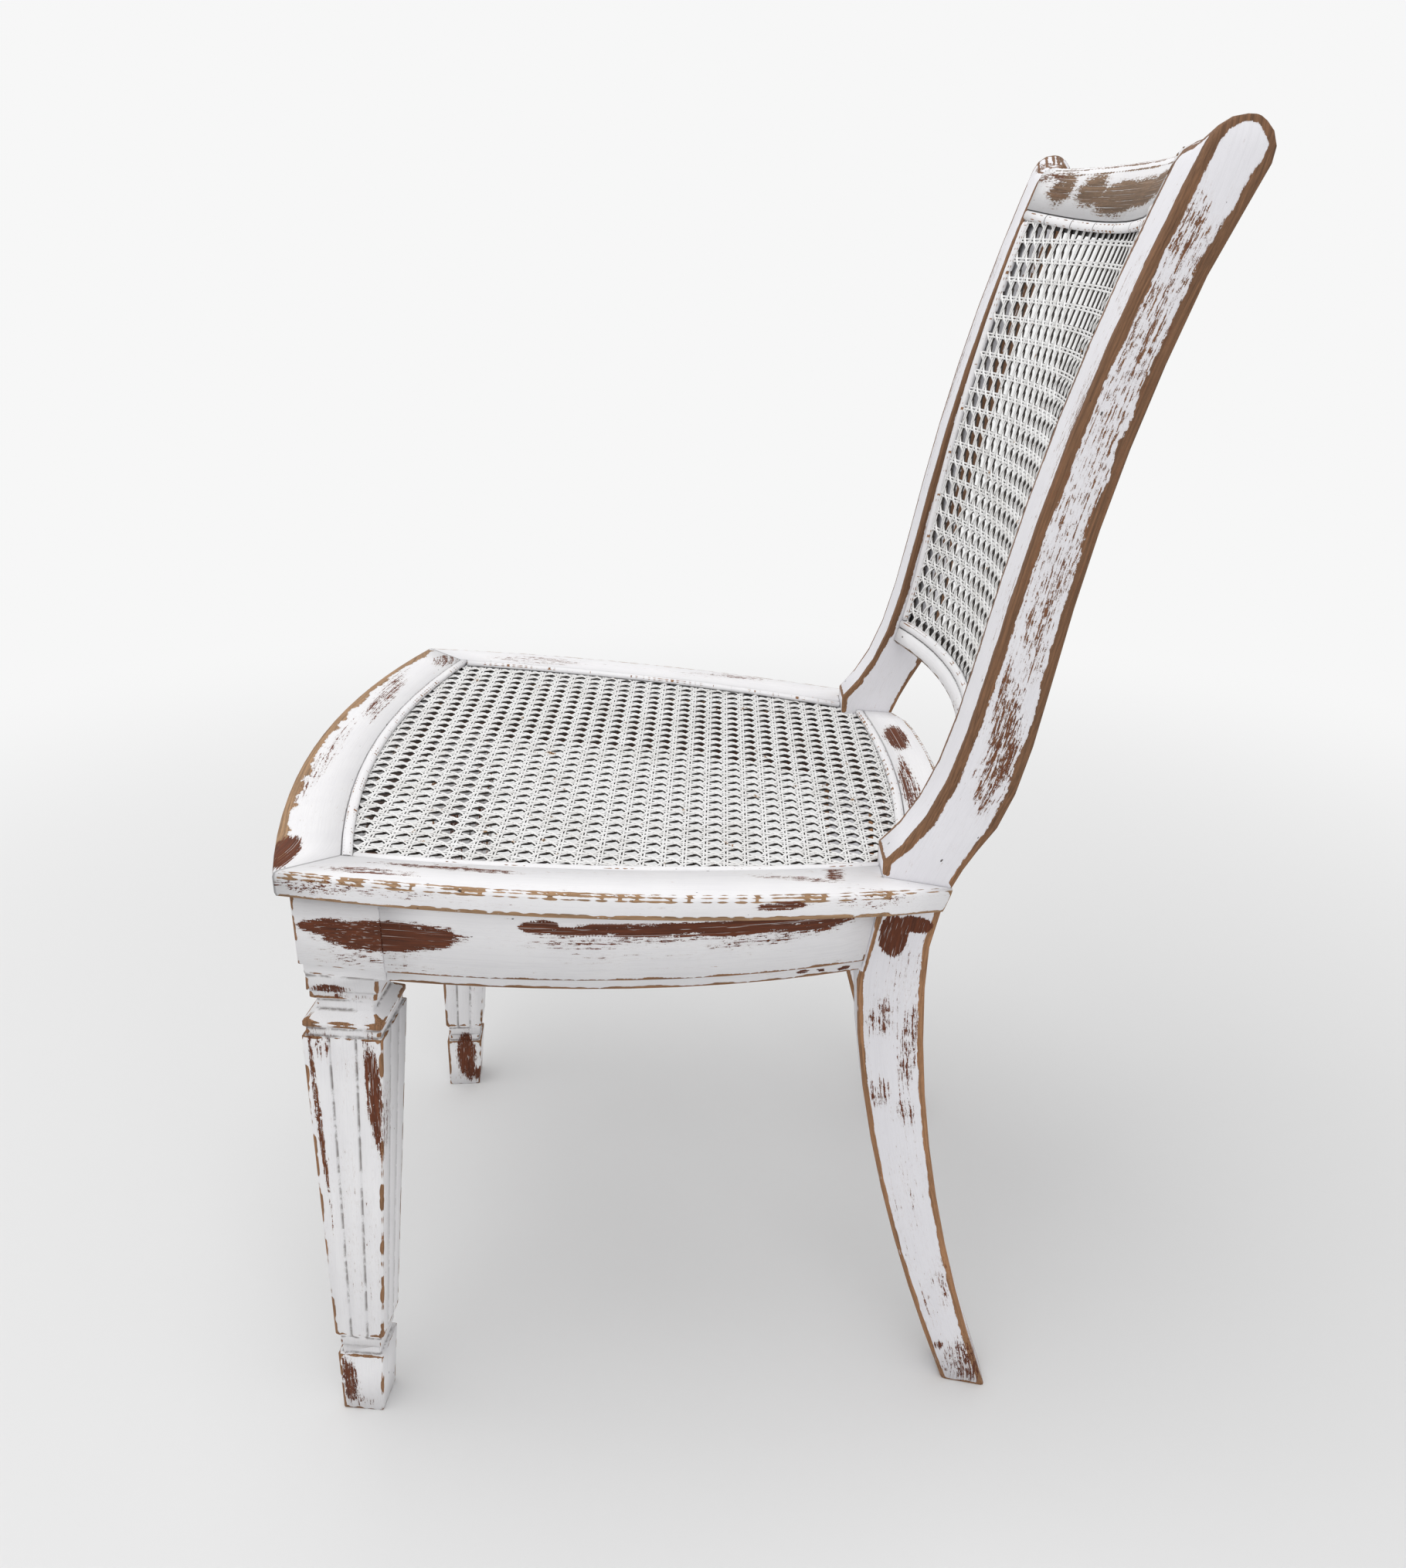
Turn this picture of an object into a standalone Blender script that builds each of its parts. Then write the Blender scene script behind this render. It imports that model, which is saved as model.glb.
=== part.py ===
"""Dining chair with a caned seat and a caned barrel back, painted and sanded through.

Metres, +Z up, front towards -Y, the sitter's left towards +X.
While the pieces are made, y runs back from the rim's front corners, and the
last step slides the whole chair along Y so that its origin is the middle of
its footprint on the floor.
"""
import math

import bmesh
import bpy
from mathutils import Vector

CLEAR = 0.0003             # gap between two faces that touch on the real chair
ROUND_MID = 0.29           # middle of a rounded corner, as a share of its radius

# Seat frame: four rails with mitred front corners
SEAT_HEIGHT = 0.460        # floor to the top of the frame at its front corners
SEAT_RAKE = math.radians(3.65)
SEAT_DEPTH = 0.428         # front corners to rear corners
FRONT_HALF = 0.2405        # half the width over the front corners
REAR_HALF = 0.1985         # half the width over the rear corners
SIDE_BULGE = 0.0212        # how far the sides swell past the straight line
FRONT_BOW = 0.0345
REAR_BOW = 0.0115
REAR_STEP = 0.0105         # rear rail's corners, behind the side rails' ends
REAR_CORNER = 0.0075       # rounding of the rear rail where it meets a post
REAR_CORNER_POWER = 14     # how close to the post that rounding stays
RIM_THICK = 0.0178
RIM_ROUND = 0.0035
REAR_SLANT = 0.006         # side rails' rear ends follow the sawn post
FRONT_STRIP = 0.0425       # frame shown in front of the cane
REAR_STRIP = 0.035
SIDE_STRIP_FRONT = 0.0315
SIDE_STRIP_REAR = 0.041

# Cane, its rebate and the reed spline that locks it
RABBET = 0.006
LEDGE = 0.011              # rebate's shelf under the edge of the cane
CANE_THICK = 0.0013
CANE_RIDGE = 0.0007        # doubled strands stand up where they cross
SPLINE_WIDTH = 0.0068
SPLINE_CROWN = 0.0006      # how far the spline stands above the wood
CANE_MARGIN = 0.0115       # unbroken border, mostly under the spline
SEAT_GAPS = (9, 10)
BACK_GAPS = (8, 9)
GAP_SHARE = 0.33           # half a gap as a share of the strand spacing
GAP_CORNER = 0.16          # where a gap's corners are cut, as the same share

# Aprons under the seat frame
APRON_THICK = 0.020
APRON_FRONT = 0.0607       # depth of the aprons at the front and at the rear
APRON_REAR = 0.0545
FILLET_HIGH = 0.008
FILLET_IN = 0.003
FRONT_OVERHANG = 0.0085
SIDE_OVERHANG = 0.0103
REAR_OVERHANG = 0.016

# Front legs: a square stump, a moulded cap, a fluted taper and a block foot
STUMP_REAR = 0.0625        # back face of the stump
STUMP_WIDE = 0.0565
STUMP_HALF_DEPTH = 0.0288  # back face to the leg's axis
LEG_SET_IN = 0.0028        # leg's axis, inside the middle of the stump
LEG_TURN = math.radians(4.5)
LEG_SPLAY_OUT = 0.0076
LEG_SPLAY_FORWARD = 0.0205
FOOT_BOTTOM = 0.0305
FOOT_TOP = 0.0346
FOOT_HIGH = 0.0536
ANKLE = 0.0285
COLLAR = 0.0310
ANKLE_SHARE = 0.39         # ankle's height between the foot and the taper
COLLAR_SHARE = 0.63        # collar's height between the ankle and the taper
TAPER_START = 0.074        # floor to the bottom of the fluted taper
TAPER_BOTTOM = 0.0365
TAPER_TOP = 0.0550
TAPER_DROP = 0.0447        # top of the taper, below the stump
CAP_FLARE = 0.0540
CAP_RECESS = 0.0506
NECK = 0.0384
CAP_STEP = 0.0454
CAP_LEVELS = (0.18, 0.24, 0.33, 0.51, 0.73, 0.82)   # mouldings, as shares of the cap
ABACUS = 0.0485
ABACUS_HIGH = 0.0112
LEG_ARRIS = 0.0009
FLUTE_WIDE = 0.0026
FLUTE_DEEP = 0.0013

# Rear posts: sabre leg and back stile sawn from one plank
BACK_HEIGHT = 0.8834
POST_INSET = 0.044         # front of the post, ahead of the rear corners
POST_OUT = 0.1858          # outer face at the front of the post
POST_TURN = math.radians(12)
POST_IN = 0.150            # inner faces stand square here at the seat
POST_THICK = 0.0435
POST_TAPER = 0.014         # outer face leans in by this at the floor
POST_ARRIS = 0.0026
TOE_HIGH = 0.0105          # upright nose of the post above the seat frame
LEG_JOINT = 0.1075         # straight stretch below the seat starts here
SWEEP_FRONT = 0.0836       # how far the foot kicks back
SWEEP_REAR = 0.0710
FRONT_POWER = 1.62         # how late the kick comes, front and rear
REAR_POWER = 1.82
WAIST_FRONT = 0.0122       # post's front at the waist, ahead of the nose
WAIST_DEPTH = 0.0451
WAIST_DROP = 0.094         # waist below the seat
KNEE_RISE = 0.0275
KNEE_DEPTH = 0.0455
KNEE_POWER = 2.2
TOP_DEPTH = 0.0330
EAR_SWELL = 0.0035         # ear is this much deeper than the stile under it
EAR_FALL = 0.0105          # ear slopes down to the crest rail by this
EAR_COVE = 0.8             # share of that slope reached halfway across
RING_TILT = 0.88           # how squarely the stile is cut by its sections
BACK_RUN = 0.1415          # how far the back leans between seat and top
BACK_SPRING = 0.30         # share of the lean taken in the first curve
BACK_HOLLOW = 0.546        # share taken by the backward curve at the top
SPRING_LENGTH = 0.10

# Crest rail and lower back rail
BACK_SAG = 0.028           # hollow of the barrel back at the crest
LOW_SAG = 0.025            # and at the lower rail
CREST_THICK = 0.022
CREST_TOP_MID = 0.0134     # top of the crest's middle, below the post's top
CREST_TOP_END = 0.0120
CREST_OPEN_END = 0.0407    # cane opening below the post's top, at the ends
CREST_OPEN_MID = 0.0500
CREST_ROUND = 0.005
HORN_START = 0.70          # where the crest's top begins to rise to the post
HORN_LENGTH = 0.30
LOW_RAIL = 0.4975          # underside of the lower back rail
LOW_BAND = 0.0125          # its plain band below the spline
LOW_THICK = 0.018
LOW_ROUND = 0.0015
LOW_RECESS = 0.008         # how far its face sits behind the post's front
BACK_SHELF_THICK = 0.010

# Joints
TENON_THICK = 0.009
TENON_LONG = 0.020
TENON_ROOT = 0.006         # how far the tenon's solid reaches into its own rail
TENON_SHOULDER = 0.010     # above and below the tenon

# Corner blocks and their screws
BLOCK_HIGH = 0.026
BLOCK_DROP = 0.006         # gap between the block and the seat frame
BLOCK_LEG = 0.052
BLOCK_GLUE = 0.0007        # glue line between a block and the curved aprons
BLOCK_OFF_LEG = 0.004      # gap between a block and the leg or the post
BLOCK_OFF_POST = 0.006     # gap in front of the rear post
SCREW_LONG = 0.034
SCREW_RADIUS = 0.0020
SCREW_HEAD = 0.0042
SCREW_HEAD_HIGH = 0.0028
SCREW_BITE = 0.012         # length of screw in the piece that it holds
SCREW_POINT = 0.005        # length of its pointed end
SCREW_IN = 0.016           # screw's distance from the block's edge
SCREW_STAGGER = 0.005      # the two screws pass above and below each other by this

# Places worked out from the sizes
TOE = SEAT_DEPTH - POST_INSET
SLOPE = math.tan(SEAT_RAKE)
FLARE = math.tan(POST_TURN)
POST_ACROSS = POST_THICK / math.cos(POST_TURN)


def mix(a, b, t):
    """Value at t between a and b."""
    return a + (b - a) * t


def smooth(t):
    """Ease from 0 to 1."""
    t = min(max(t, 0.0), 1.0)
    return t * t * (3 - 2 * t)


def rim_top(y):
    """Height of the seat frame's top."""
    return SEAT_HEIGHT - SLOPE * y


def rim_bottom(y):
    """Height of the seat frame's underside."""
    return rim_top(y) - RIM_THICK


def rim_half(y):
    """Half-width of the seat frame's outline."""
    t = y / SEAT_DEPTH
    return mix(FRONT_HALF, REAR_HALF, t) + 4 * SIDE_BULGE * t * (1 - t)


def front_edge(x):
    """Bowed front of the seat frame."""
    return -FRONT_BOW * (1 - (x / FRONT_HALF) ** 2)


def rear_edge(f):
    """Back of the rear rail, at the share f of the way to a post."""
    bow = REAR_BOW * (1 - f * f)
    return SEAT_DEPTH + REAR_STEP + bow - REAR_CORNER * abs(f) ** REAR_CORNER_POWER


def rear_line(x):
    """Rear of the cane opening."""
    near = rear_edge(0) - REAR_STRIP
    return near - REAR_BOW * (x / POST_IN) ** 2


def open_half(y):
    """Half-width of the cane opening."""
    return rim_half(y) - mix(SIDE_STRIP_FRONT, SIDE_STRIP_REAR, y / TOE)


def front_line(x):
    """Front of the cane opening."""
    return front_edge(x) + FRONT_STRIP


def post_outer(y, z):
    """Outer face of a post, which leans in below the seat."""
    lean = max(0.0, 1 - z / rim_bottom(TOE))
    return POST_OUT + FLARE * (y - TOE) - POST_TAPER * lean


def post_inner(y):
    """Inner face of a post, square at the seat and turned higher up."""
    return max(POST_IN, POST_OUT - POST_ACROSS + FLARE * (y - TOE))


def post_front(z):
    """Front contour of a post."""
    joint = SEAT_HEIGHT - LEG_JOINT
    under = rim_bottom(TOE)
    if z < joint:
        return TOE - WAIST_FRONT + SWEEP_FRONT * ((joint - z) / joint) ** FRONT_POWER
    if z < under:
        return mix(TOE - WAIST_FRONT, TOE, (z - joint) / (under - joint))
    toe_top = rim_top(TOE) + TOE_HIGH
    if z < toe_top:
        return TOE
    t = (z - toe_top) / (BACK_HEIGHT - toe_top)
    spring = BACK_SPRING * (1 - math.exp(-t / SPRING_LENGTH))
    rest = 1 - BACK_SPRING - BACK_HOLLOW
    return TOE + BACK_RUN * (spring + rest * t + BACK_HOLLOW * t * t)


def post_rear(z):
    """Rear contour of a post."""
    waist = SEAT_HEIGHT - WAIST_DROP
    back = TOE - WAIST_FRONT + WAIST_DEPTH
    if z < waist:
        return back + SWEEP_REAR * ((waist - z) / waist) ** REAR_POWER
    knee = rim_top(TOE) + TOE_HIGH + KNEE_RISE
    knee_back = post_front(knee) + KNEE_DEPTH
    if z < knee:
        return mix(back, knee_back, ((z - waist) / (knee - waist)) ** KNEE_POWER)
    t = (z - knee) / (BACK_HEIGHT - knee)
    swell = EAR_SWELL * smooth((t - 0.8) / 0.15)
    return post_front(z) + mix(TOP_DEPTH, KNEE_DEPTH, (1 - t) ** 3) + swell


def apron_bottom(y):
    """Underside of the aprons, a little flatter than the seat."""
    return rim_bottom(y) - mix(APRON_FRONT, APRON_REAR, y / TOE)


def apron_front(x):
    """Outer face of the front apron and of the stumps' fronts."""
    return front_edge(x) + FRONT_OVERHANG


def apron_side(y):
    """Outer face of a side apron, flush with the stump and with the post."""
    far = rim_half(TOE - WAIST_FRONT) - post_outer(TOE - WAIST_FRONT, SEAT_HEIGHT)
    t = max(0.0, (y - STUMP_REAR) / (TOE - STUMP_REAR))
    return rim_half(y) - mix(SIDE_OVERHANG, far, t ** 3)


def rear_apron(f):
    """Outer face of the rear apron."""
    return rear_edge(0) - REAR_OVERHANG - REAR_BOW * f * f


def low_open():
    """Lower edge of the back's cane opening."""
    return LOW_RAIL + LOW_BAND


def crest_open(f):
    """Upper edge of the back's cane opening, which dips in the middle."""
    return BACK_HEIGHT - mix(CREST_OPEN_MID, CREST_OPEN_END, f * f)


def back_face(f, z):
    """Front of the barrel back between the posts."""
    t = (z - low_open()) / (crest_open(1) - low_open())
    sag = mix(LOW_SAG, BACK_SAG, t) * (1 - f * f)
    return post_front(z) + mix(LOW_RECESS, 0, min(t, 1.0)) + sag


def back_rows():
    """Heights of the rows of gaps beside a post, as shares of the opening."""
    margin = CANE_MARGIN / (crest_open(1) - low_open())
    rows = BACK_GAPS[1]
    return [mix(margin, 1 - margin, j / rows) for j in range(rows + 1)]


def paint(name, colour, roughness, metallic=0.0):
    """One plain material."""
    material = bpy.data.materials.new(name)
    material.use_nodes = True
    shader = material.node_tree.nodes["Principled BSDF"]
    shader.inputs["Base Color"].default_value = (*colour, 1)
    shader.inputs["Roughness"].default_value = roughness
    shader.inputs["Metallic"].default_value = metallic
    return material


def add_object(name, build, material):
    """Object from a filled bmesh, with its normals out."""
    bmesh.ops.recalc_face_normals(build, faces=build.faces)
    mesh = bpy.data.meshes.new(name)
    build.to_mesh(mesh)
    build.free()
    obj = bpy.data.objects.new(name, mesh)
    bpy.context.collection.objects.link(obj)
    if material:
        mesh.materials.append(material)
    return obj


def loft(name, loops, material):
    """Closed solid through loops with the same number of points."""
    build = bmesh.new()
    rings = [[build.verts.new(point) for point in loop] for loop in loops]
    count = len(rings[0])
    for low, high in zip(rings, rings[1:]):
        for i in range(count):
            j = (i + 1) % count
            build.faces.new((low[i], low[j], high[j], high[i]))
    build.faces.new(rings[0])
    build.faces.new(list(reversed(rings[-1])))
    return add_object(name, build, material)


def mirrored(points, side):
    """Points on the sitter's left, or their mirror image for side -1."""
    return [(side * x, y, z) for x, y, z in points]


def combine(obj, other, operation):
    """Cut or join another solid, which is then removed."""
    step = obj.modifiers.new(operation.lower(), "BOOLEAN")
    step.operation = operation
    step.solver = "EXACT"
    step.object = other
    graph = bpy.context.evaluated_depsgraph_get()
    result = bpy.data.meshes.new_from_object(obj.evaluated_get(graph))
    obj.modifiers.clear()
    old = obj.data
    obj.data = result
    bpy.data.meshes.remove(old)
    bpy.data.objects.remove(other)


def prism(name, outline, low, high):
    """Upright prism on a plan outline."""
    return loft(name, [[(x, y, z) for x, y in outline] for z in (low, high)], None)


def bar(centre, along, across, size):
    """Straight bar: size is (length, width, height) and along is level."""
    long, wide, high = (s / 2 for s in size)
    corners = [(-wide, -high), (wide, -high), (wide, high), (-wide, high)]
    ends = []
    for end in (-long, long):
        place = Vector(centre) + Vector(along) * end
        ends.append([place + Vector(across) * a + Vector((0, 0, h)) for a, h in corners])
    return loft("bar", ends, None)


def tenon(rail, socket, centre, along, height):
    """Tenon on a rail's end, and the mortise that it fits."""
    across = (-along[1], along[0], 0)
    centre = Vector(centre) + Vector(along) * ((TENON_LONG - TENON_ROOT) / 2)
    size = (TENON_LONG + TENON_ROOT, TENON_THICK, height - 2 * TENON_SHOULDER)
    room = tuple(s + 2 * CLEAR for s in size)
    combine(socket, bar(centre, along, across, room), "DIFFERENCE")
    combine(rail, bar(centre, along, across, size), "UNION")


def rim_section(outer, inner, width, slant=0.0):
    """Section of the seat frame from its outline to the cane opening."""
    ox, oy = outer
    ix, iy = inner
    reach = math.hypot(ix - ox, iy - oy)
    r = RIM_ROUND / reach
    shelf = 1 + width / reach
    soft = ROUND_MID * RIM_ROUND
    across = [(0, RIM_ROUND), (ROUND_MID * r, soft), (r, 0), (1, 0)]
    across += [(1, RABBET), (shelf, RABBET), (shelf, RIM_THICK)]
    across += [(r, RIM_THICK), (ROUND_MID * r, RIM_THICK - soft)]
    across += [(0, RIM_THICK - RIM_ROUND)]
    points = []
    for share, deep in across:
        y = mix(oy, iy, share) - slant * deep / RIM_THICK
        points.append((mix(ox, ix, share), y, rim_top(y) - deep))
    return points


def frame_corner():
    """Front corner of the cane opening."""
    x = FRONT_HALF - SIDE_STRIP_FRONT
    for _ in range(8):
        x = open_half(front_line(x))
    return x, front_line(x)


def make_seat_frame(wood):
    """Front, side and rear rails of the caned seat frame."""
    cx, cy = frame_corner()
    loops = []
    for k in range(17):
        f = k / 8 - 1
        outer = (f * FRONT_HALF, front_edge(f * FRONT_HALF))
        inner = (f * cx, front_line(f * cx))
        reach = math.hypot(inner[0] - outer[0], inner[1] - outer[1])
        loops.append(rim_section(outer, inner, LEDGE * reach / (inner[1] - outer[1])))
    loft("seat_rail_front", loops, wood)

    for side, word in ((1, "left"), (-1, "right")):
        loops = []
        for k in range(11):
            t = k / 10
            y = mix(0, SEAT_DEPTH, t)
            yi = mix(cy, SEAT_DEPTH, t)
            outer = (rim_half(y), y + 1.5 * CLEAR)
            inner = (open_half(yi), yi + 1.5 * CLEAR)
            reach = math.hypot(inner[0] - outer[0], inner[1] - outer[1])
            width = LEDGE * reach / (outer[0] - inner[0])
            slant = REAR_SLANT if k == 10 else 0.0
            loops.append(mirrored(rim_section(outer, inner, width, slant), side))
        rail = loft("seat_rail_" + word, loops, wood)
        end = SEAT_DEPTH + 0.02
        start = TOE - CLEAR
        room = [(0.05, start), (post_outer(start, SEAT_HEIGHT) + 1.1 * CLEAR, start)]
        room += [(post_outer(end, SEAT_HEIGHT) + 1.1 * CLEAR, end), (0.05, end)]
        room = [(side * x, y) for x, y in room]
        low, high = rim_bottom(end) - 0.02, rim_top(start) + 0.02
        combine(rail, prism("room", room, low, high), "DIFFERENCE")

    loops = []
    for k in range(17):
        f = k / 8 - 1
        back = rear_edge(f)
        front = rear_line(f * POST_IN)
        loop = []
        for _, y, z in rim_section((0, back), (0, front), LEDGE):
            loop.append((f * (POST_IN - CLEAR), y, z))
        loops.append(loop)
    loft("seat_rail_rear", loops, wood)


def make_aprons(wood):
    """Four aprons, each with a fillet sunk along its lower edge."""
    def section(outer, inner):
        """Outer and inner give a plan point; two levels share each."""
        loop = []
        steps = [(0, "top"), (0, "fillet"), (FILLET_IN, "fillet"), (FILLET_IN, "low")]
        reach = math.hypot(inner[0] - outer[0], inner[1] - outer[1])
        for back, level in steps + [(reach, "low"), (reach, "top")]:
            x = mix(outer[0], inner[0], back / reach)
            y = mix(outer[1], inner[1], back / reach)
            low = apron_bottom(y)
            heights = {"top": rim_bottom(y) - CLEAR, "fillet": low + FILLET_HIGH, "low": low}
            loop.append((x, y, heights[level]))
        return loop

    stump_inner = apron_side(STUMP_REAR) - STUMP_WIDE
    loops = []
    for k in range(13):
        x = mix(-1, 1, k / 12) * (stump_inner - CLEAR)
        y = apron_front(x)
        loops.append(section((x, y), (x, y + APRON_THICK)))
    front = loft("apron_front", loops, wood)

    sides = {}
    for side, word in ((1, "left"), (-1, "right")):
        loops = []
        for k in range(11):
            t = k / 10
            loop = []
            y0 = mix(STUMP_REAR + CLEAR, TOE, t)
            outer = (apron_side(y0), y0)
            inner = (apron_side(y0) - APRON_THICK, y0)
            for x, y, z in section(outer, inner):
                end = post_front(z) - CLEAR
                start = STUMP_REAR + CLEAR
                y = mix(start, end, t)
                shift = apron_side(y) - apron_side(y0)
                loop.append((side * (x + shift), y, z))
            loops.append(loop)
        sides[word] = loft("apron_" + word, loops, wood)

    loops = []
    for k in range(13):
        f = k / 6 - 1
        y = rear_apron(f)
        loop = []
        for _, y, z in section((0, y), (0, y - APRON_THICK)):
            loop.append((f * (POST_IN - CLEAR), y, z))
        loops.append(loop)
    rear = loft("apron_rear", loops, wood)
    return front, sides["left"], sides["right"], rear


def square_loop(centre, width, z, turn):
    """Corners of a leg section: front outer, rear outer, rear inner, front inner."""
    half = width / 2
    out = Vector((math.cos(turn), -math.sin(turn)))
    back = Vector((math.sin(turn), math.cos(turn)))
    corners = []
    for o, b in ((1, -1), (1, 1), (-1, 1), (-1, -1)):
        place = Vector(centre) + out * (o * half) + back * (b * half)
        corners.append((place.x, place.y, z))
    return corners


def leg_ring(corners, flute):
    """Softened corners, with two V flutes a side where flute is above 0."""
    ring = []
    for i, corner in enumerate(corners):
        a = Vector(corner)
        b = Vector(corners[(i + 1) % 4])
        inward = (Vector(corners[(i + 2) % 4]) - b).normalized()
        length = (b - a).length
        along = (b - a) / length
        ring.append(a + along * LEG_ARRIS)
        for third in (1 / 3, 2 / 3):
            for step in (-1, 0, 1):
                place = a + along * (third * length + step * FLUTE_WIDE / 2)
                deep = flute if step == 0 else 0.0
                ring.append(place + inward * deep)
        ring.append(b - along * LEG_ARRIS)
    return ring


def make_front_leg(side, word, wood):
    """Stump, moulded cap, fluted taper, ankle and foot, all one piece."""
    base = apron_bottom(STUMP_REAR)
    outer = apron_side(STUMP_REAR)
    axis_x = outer - STUMP_WIDE / 2 - LEG_SET_IN
    axis_y = STUMP_REAR - STUMP_HALF_DEPTH

    def square(z, width):
        """Section of the leaning leg at a height."""
        lean = 1 - z / base
        centre = (axis_x + LEG_SPLAY_OUT * lean, axis_y - LEG_SPLAY_FORWARD * lean)
        return square_loop(centre, width, z, LEG_TURN)

    top = base - TAPER_DROP
    cap_top = base - ABACUS_HIGH
    ankle = mix(FOOT_HIGH, TAPER_START, ANKLE_SHARE)
    collar = mix(ankle, TAPER_START, COLLAR_SHARE)
    steps = [(0, FOOT_BOTTOM), (FOOT_HIGH, FOOT_TOP), (FOOT_HIGH, ANKLE)]
    steps += [(ankle, ANKLE), (ankle, COLLAR), (collar, COLLAR)]
    steps += [(TAPER_START, TAPER_BOTTOM), (top, TAPER_TOP), (top, CAP_RECESS)]
    widths = (CAP_RECESS, CAP_FLARE, CAP_FLARE, NECK, NECK, CAP_STEP)
    for share, width in zip(CAP_LEVELS, widths):
        steps.append((mix(top, cap_top, share), width))
    steps += [(cap_top, CAP_STEP), (cap_top, ABACUS), (base, ABACUS)]

    loops = []
    for i, (z, width) in enumerate(steps):
        flute = FLUTE_DEEP if z in (TAPER_START, top) and i in (6, 7) else 0.0
        loops.append(leg_ring(square(z, width), flute))

    inner = outer - STUMP_WIDE
    for inset, level in ((FILLET_IN, 0), (FILLET_IN, 1), (0, 1), (0, 2)):
        front_x = apron_side(0) - inset
        shy = 0.08 * inset
        plan = [(front_x, apron_front(front_x) + inset), (outer - inset, STUMP_REAR - shy)]
        plan += [(inner + shy, STUMP_REAR - shy), (inner + shy, apron_front(inner) + inset)]
        corners = []
        for x, y in plan:
            low = apron_bottom(y)
            z = (low, low + FILLET_HIGH, rim_bottom(y) - CLEAR)[level]
            corners.append((x, y, z))
        loops.append(leg_ring(corners, 0.0))
    leg = loft("front_leg_" + word, [mirrored(loop, side) for loop in loops], wood)
    build = bmesh.new()
    build.from_mesh(leg.data)
    edges, verts = build.edges, build.verts
    bmesh.ops.dissolve_limit(build, angle_limit=0.003, verts=verts, edges=edges)
    build.to_mesh(leg.data)
    build.free()
    return leg


def post_ring(front, rear, fall):
    """Rounded rectangle between a front and a rear contour point.

    Its inner side is lower by fall, along the lean of the stile, and a point
    halfway across makes the slope hollow.
    """
    lean = (post_front(BACK_HEIGHT) - post_front(BACK_HEIGHT - EAR_FALL)) / EAR_FALL

    def lowered(point, share):
        """Contour point lowered by a share of the fall."""
        return point[0] - lean * fall * share, point[1] - fall * share

    corners = []
    for y, z in (front, rear):
        corners.append(Vector((post_outer(y, z), y, z)))
    for y, z in (lowered(rear, 1), lowered(front, 1)):
        corners.append(Vector((post_inner(y), y, z)))
    halfway = []
    for point, outer, inner in ((rear, 1, 2), (front, 0, 3)):
        y, z = lowered(point, EAR_COVE)
        halfway.append(Vector(((corners[outer].x + corners[inner].x) / 2, y, z)))
    front, rear = lowered(front, 1), lowered(rear, 1)
    turn = TOE + (POST_IN - POST_OUT + POST_ACROSS) / FLARE
    share = min(max((turn - front[0]) / (rear[0] - front[0]), 0.3), 0.7)
    y = mix(front[0], rear[0], share)
    crease = Vector((post_inner(y), y, mix(front[1], rear[1], share)))
    ring = []
    for i, corner in enumerate(corners):
        before = corners[i - 1] - corner
        after = corners[(i + 1) % 4] - corner
        r = min(POST_ARRIS, 0.3 * before.length, 0.3 * after.length)
        before.normalize()
        after.normalize()
        ring.append(corner + before * r)
        ring.append(corner + (before + after) * (ROUND_MID * r))
        ring.append(corner + after * r)
        if i == 1:
            ring.append(halfway[0])
        if i == 2:
            ring.append(crease)
    ring.append(halfway[1])
    return ring


def post_stations():
    """Front and rear contour points, and the fall, from the floor to the rounded ear."""
    joint = SEAT_HEIGHT - LEG_JOINT
    heights = [joint * k / 8 for k in range(9)]
    under = rim_bottom(TOE)
    toe_top = rim_top(TOE) + TOE_HIGH
    heights += [mix(joint, under, 0.5), under, mix(under, toe_top, 0.5), toe_top]
    stations = [((post_front(z), z), (post_rear(z), z), 0.0) for z in heights]
    ear = BACK_HEIGHT - 0.31 * (TOP_DEPTH + EAR_SWELL)
    for t in (0.035, 0.08, 0.14, 0.22, 0.32, 0.43, 0.54, 0.65, 0.76, 0.87, 0.95, 1):
        z = mix(toe_top, ear, t)
        slope = (post_front(z + 0.002) - post_front(z - 0.002)) / 0.004
        low = z - TOP_DEPTH * slope * RING_TILT * smooth(t / 0.3)
        fall = EAR_FALL * smooth((t - 0.7) / 0.3)
        stations.append(((post_front(z), z), (post_rear(low), low), fall))
    front = Vector(stations[-1][0])
    rear = Vector(stations[-1][1])
    middle = (front + rear) / 2
    across = (rear - front) / 2
    upward = Vector((-across.y, across.x))
    for angle in (25, 50, 70, 83):
        c, s = math.cos(math.radians(angle)), math.sin(math.radians(angle))
        up = middle + upward * s
        stations.append((tuple(up - across * c), tuple(up + across * c), EAR_FALL))
    return stations


def make_post(side, word, wood):
    """Rear post with the shelf that carries the side of the caned back."""
    loops = [mirrored(post_ring(*station), side) for station in post_stations()]
    post = loft("rear_post_" + word, loops, wood)
    heights = [mix(low_open(), crest_open(1), b) for b in back_rows()]
    heights[-1] = crest_open(0.92) - LEDGE - 2 * CLEAR
    loops = []
    for z in heights:
        face = back_face(1, z) + RABBET
        x = post_inner(face)
        f = 1 - LEDGE / x
        dip = back_face(f, z) - back_face(1, z)
        plan = [(x + 0.003, face), (x - LEDGE, face + dip)]
        plan += [(x - LEDGE, face + dip + BACK_SHELF_THICK)]
        plan += [(x + 0.003, face + BACK_SHELF_THICK)]
        loops.append([(side * px, py, z) for px, py in plan])
    combine(post, loft("shelf", loops, None), "UNION")
    return post


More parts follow.
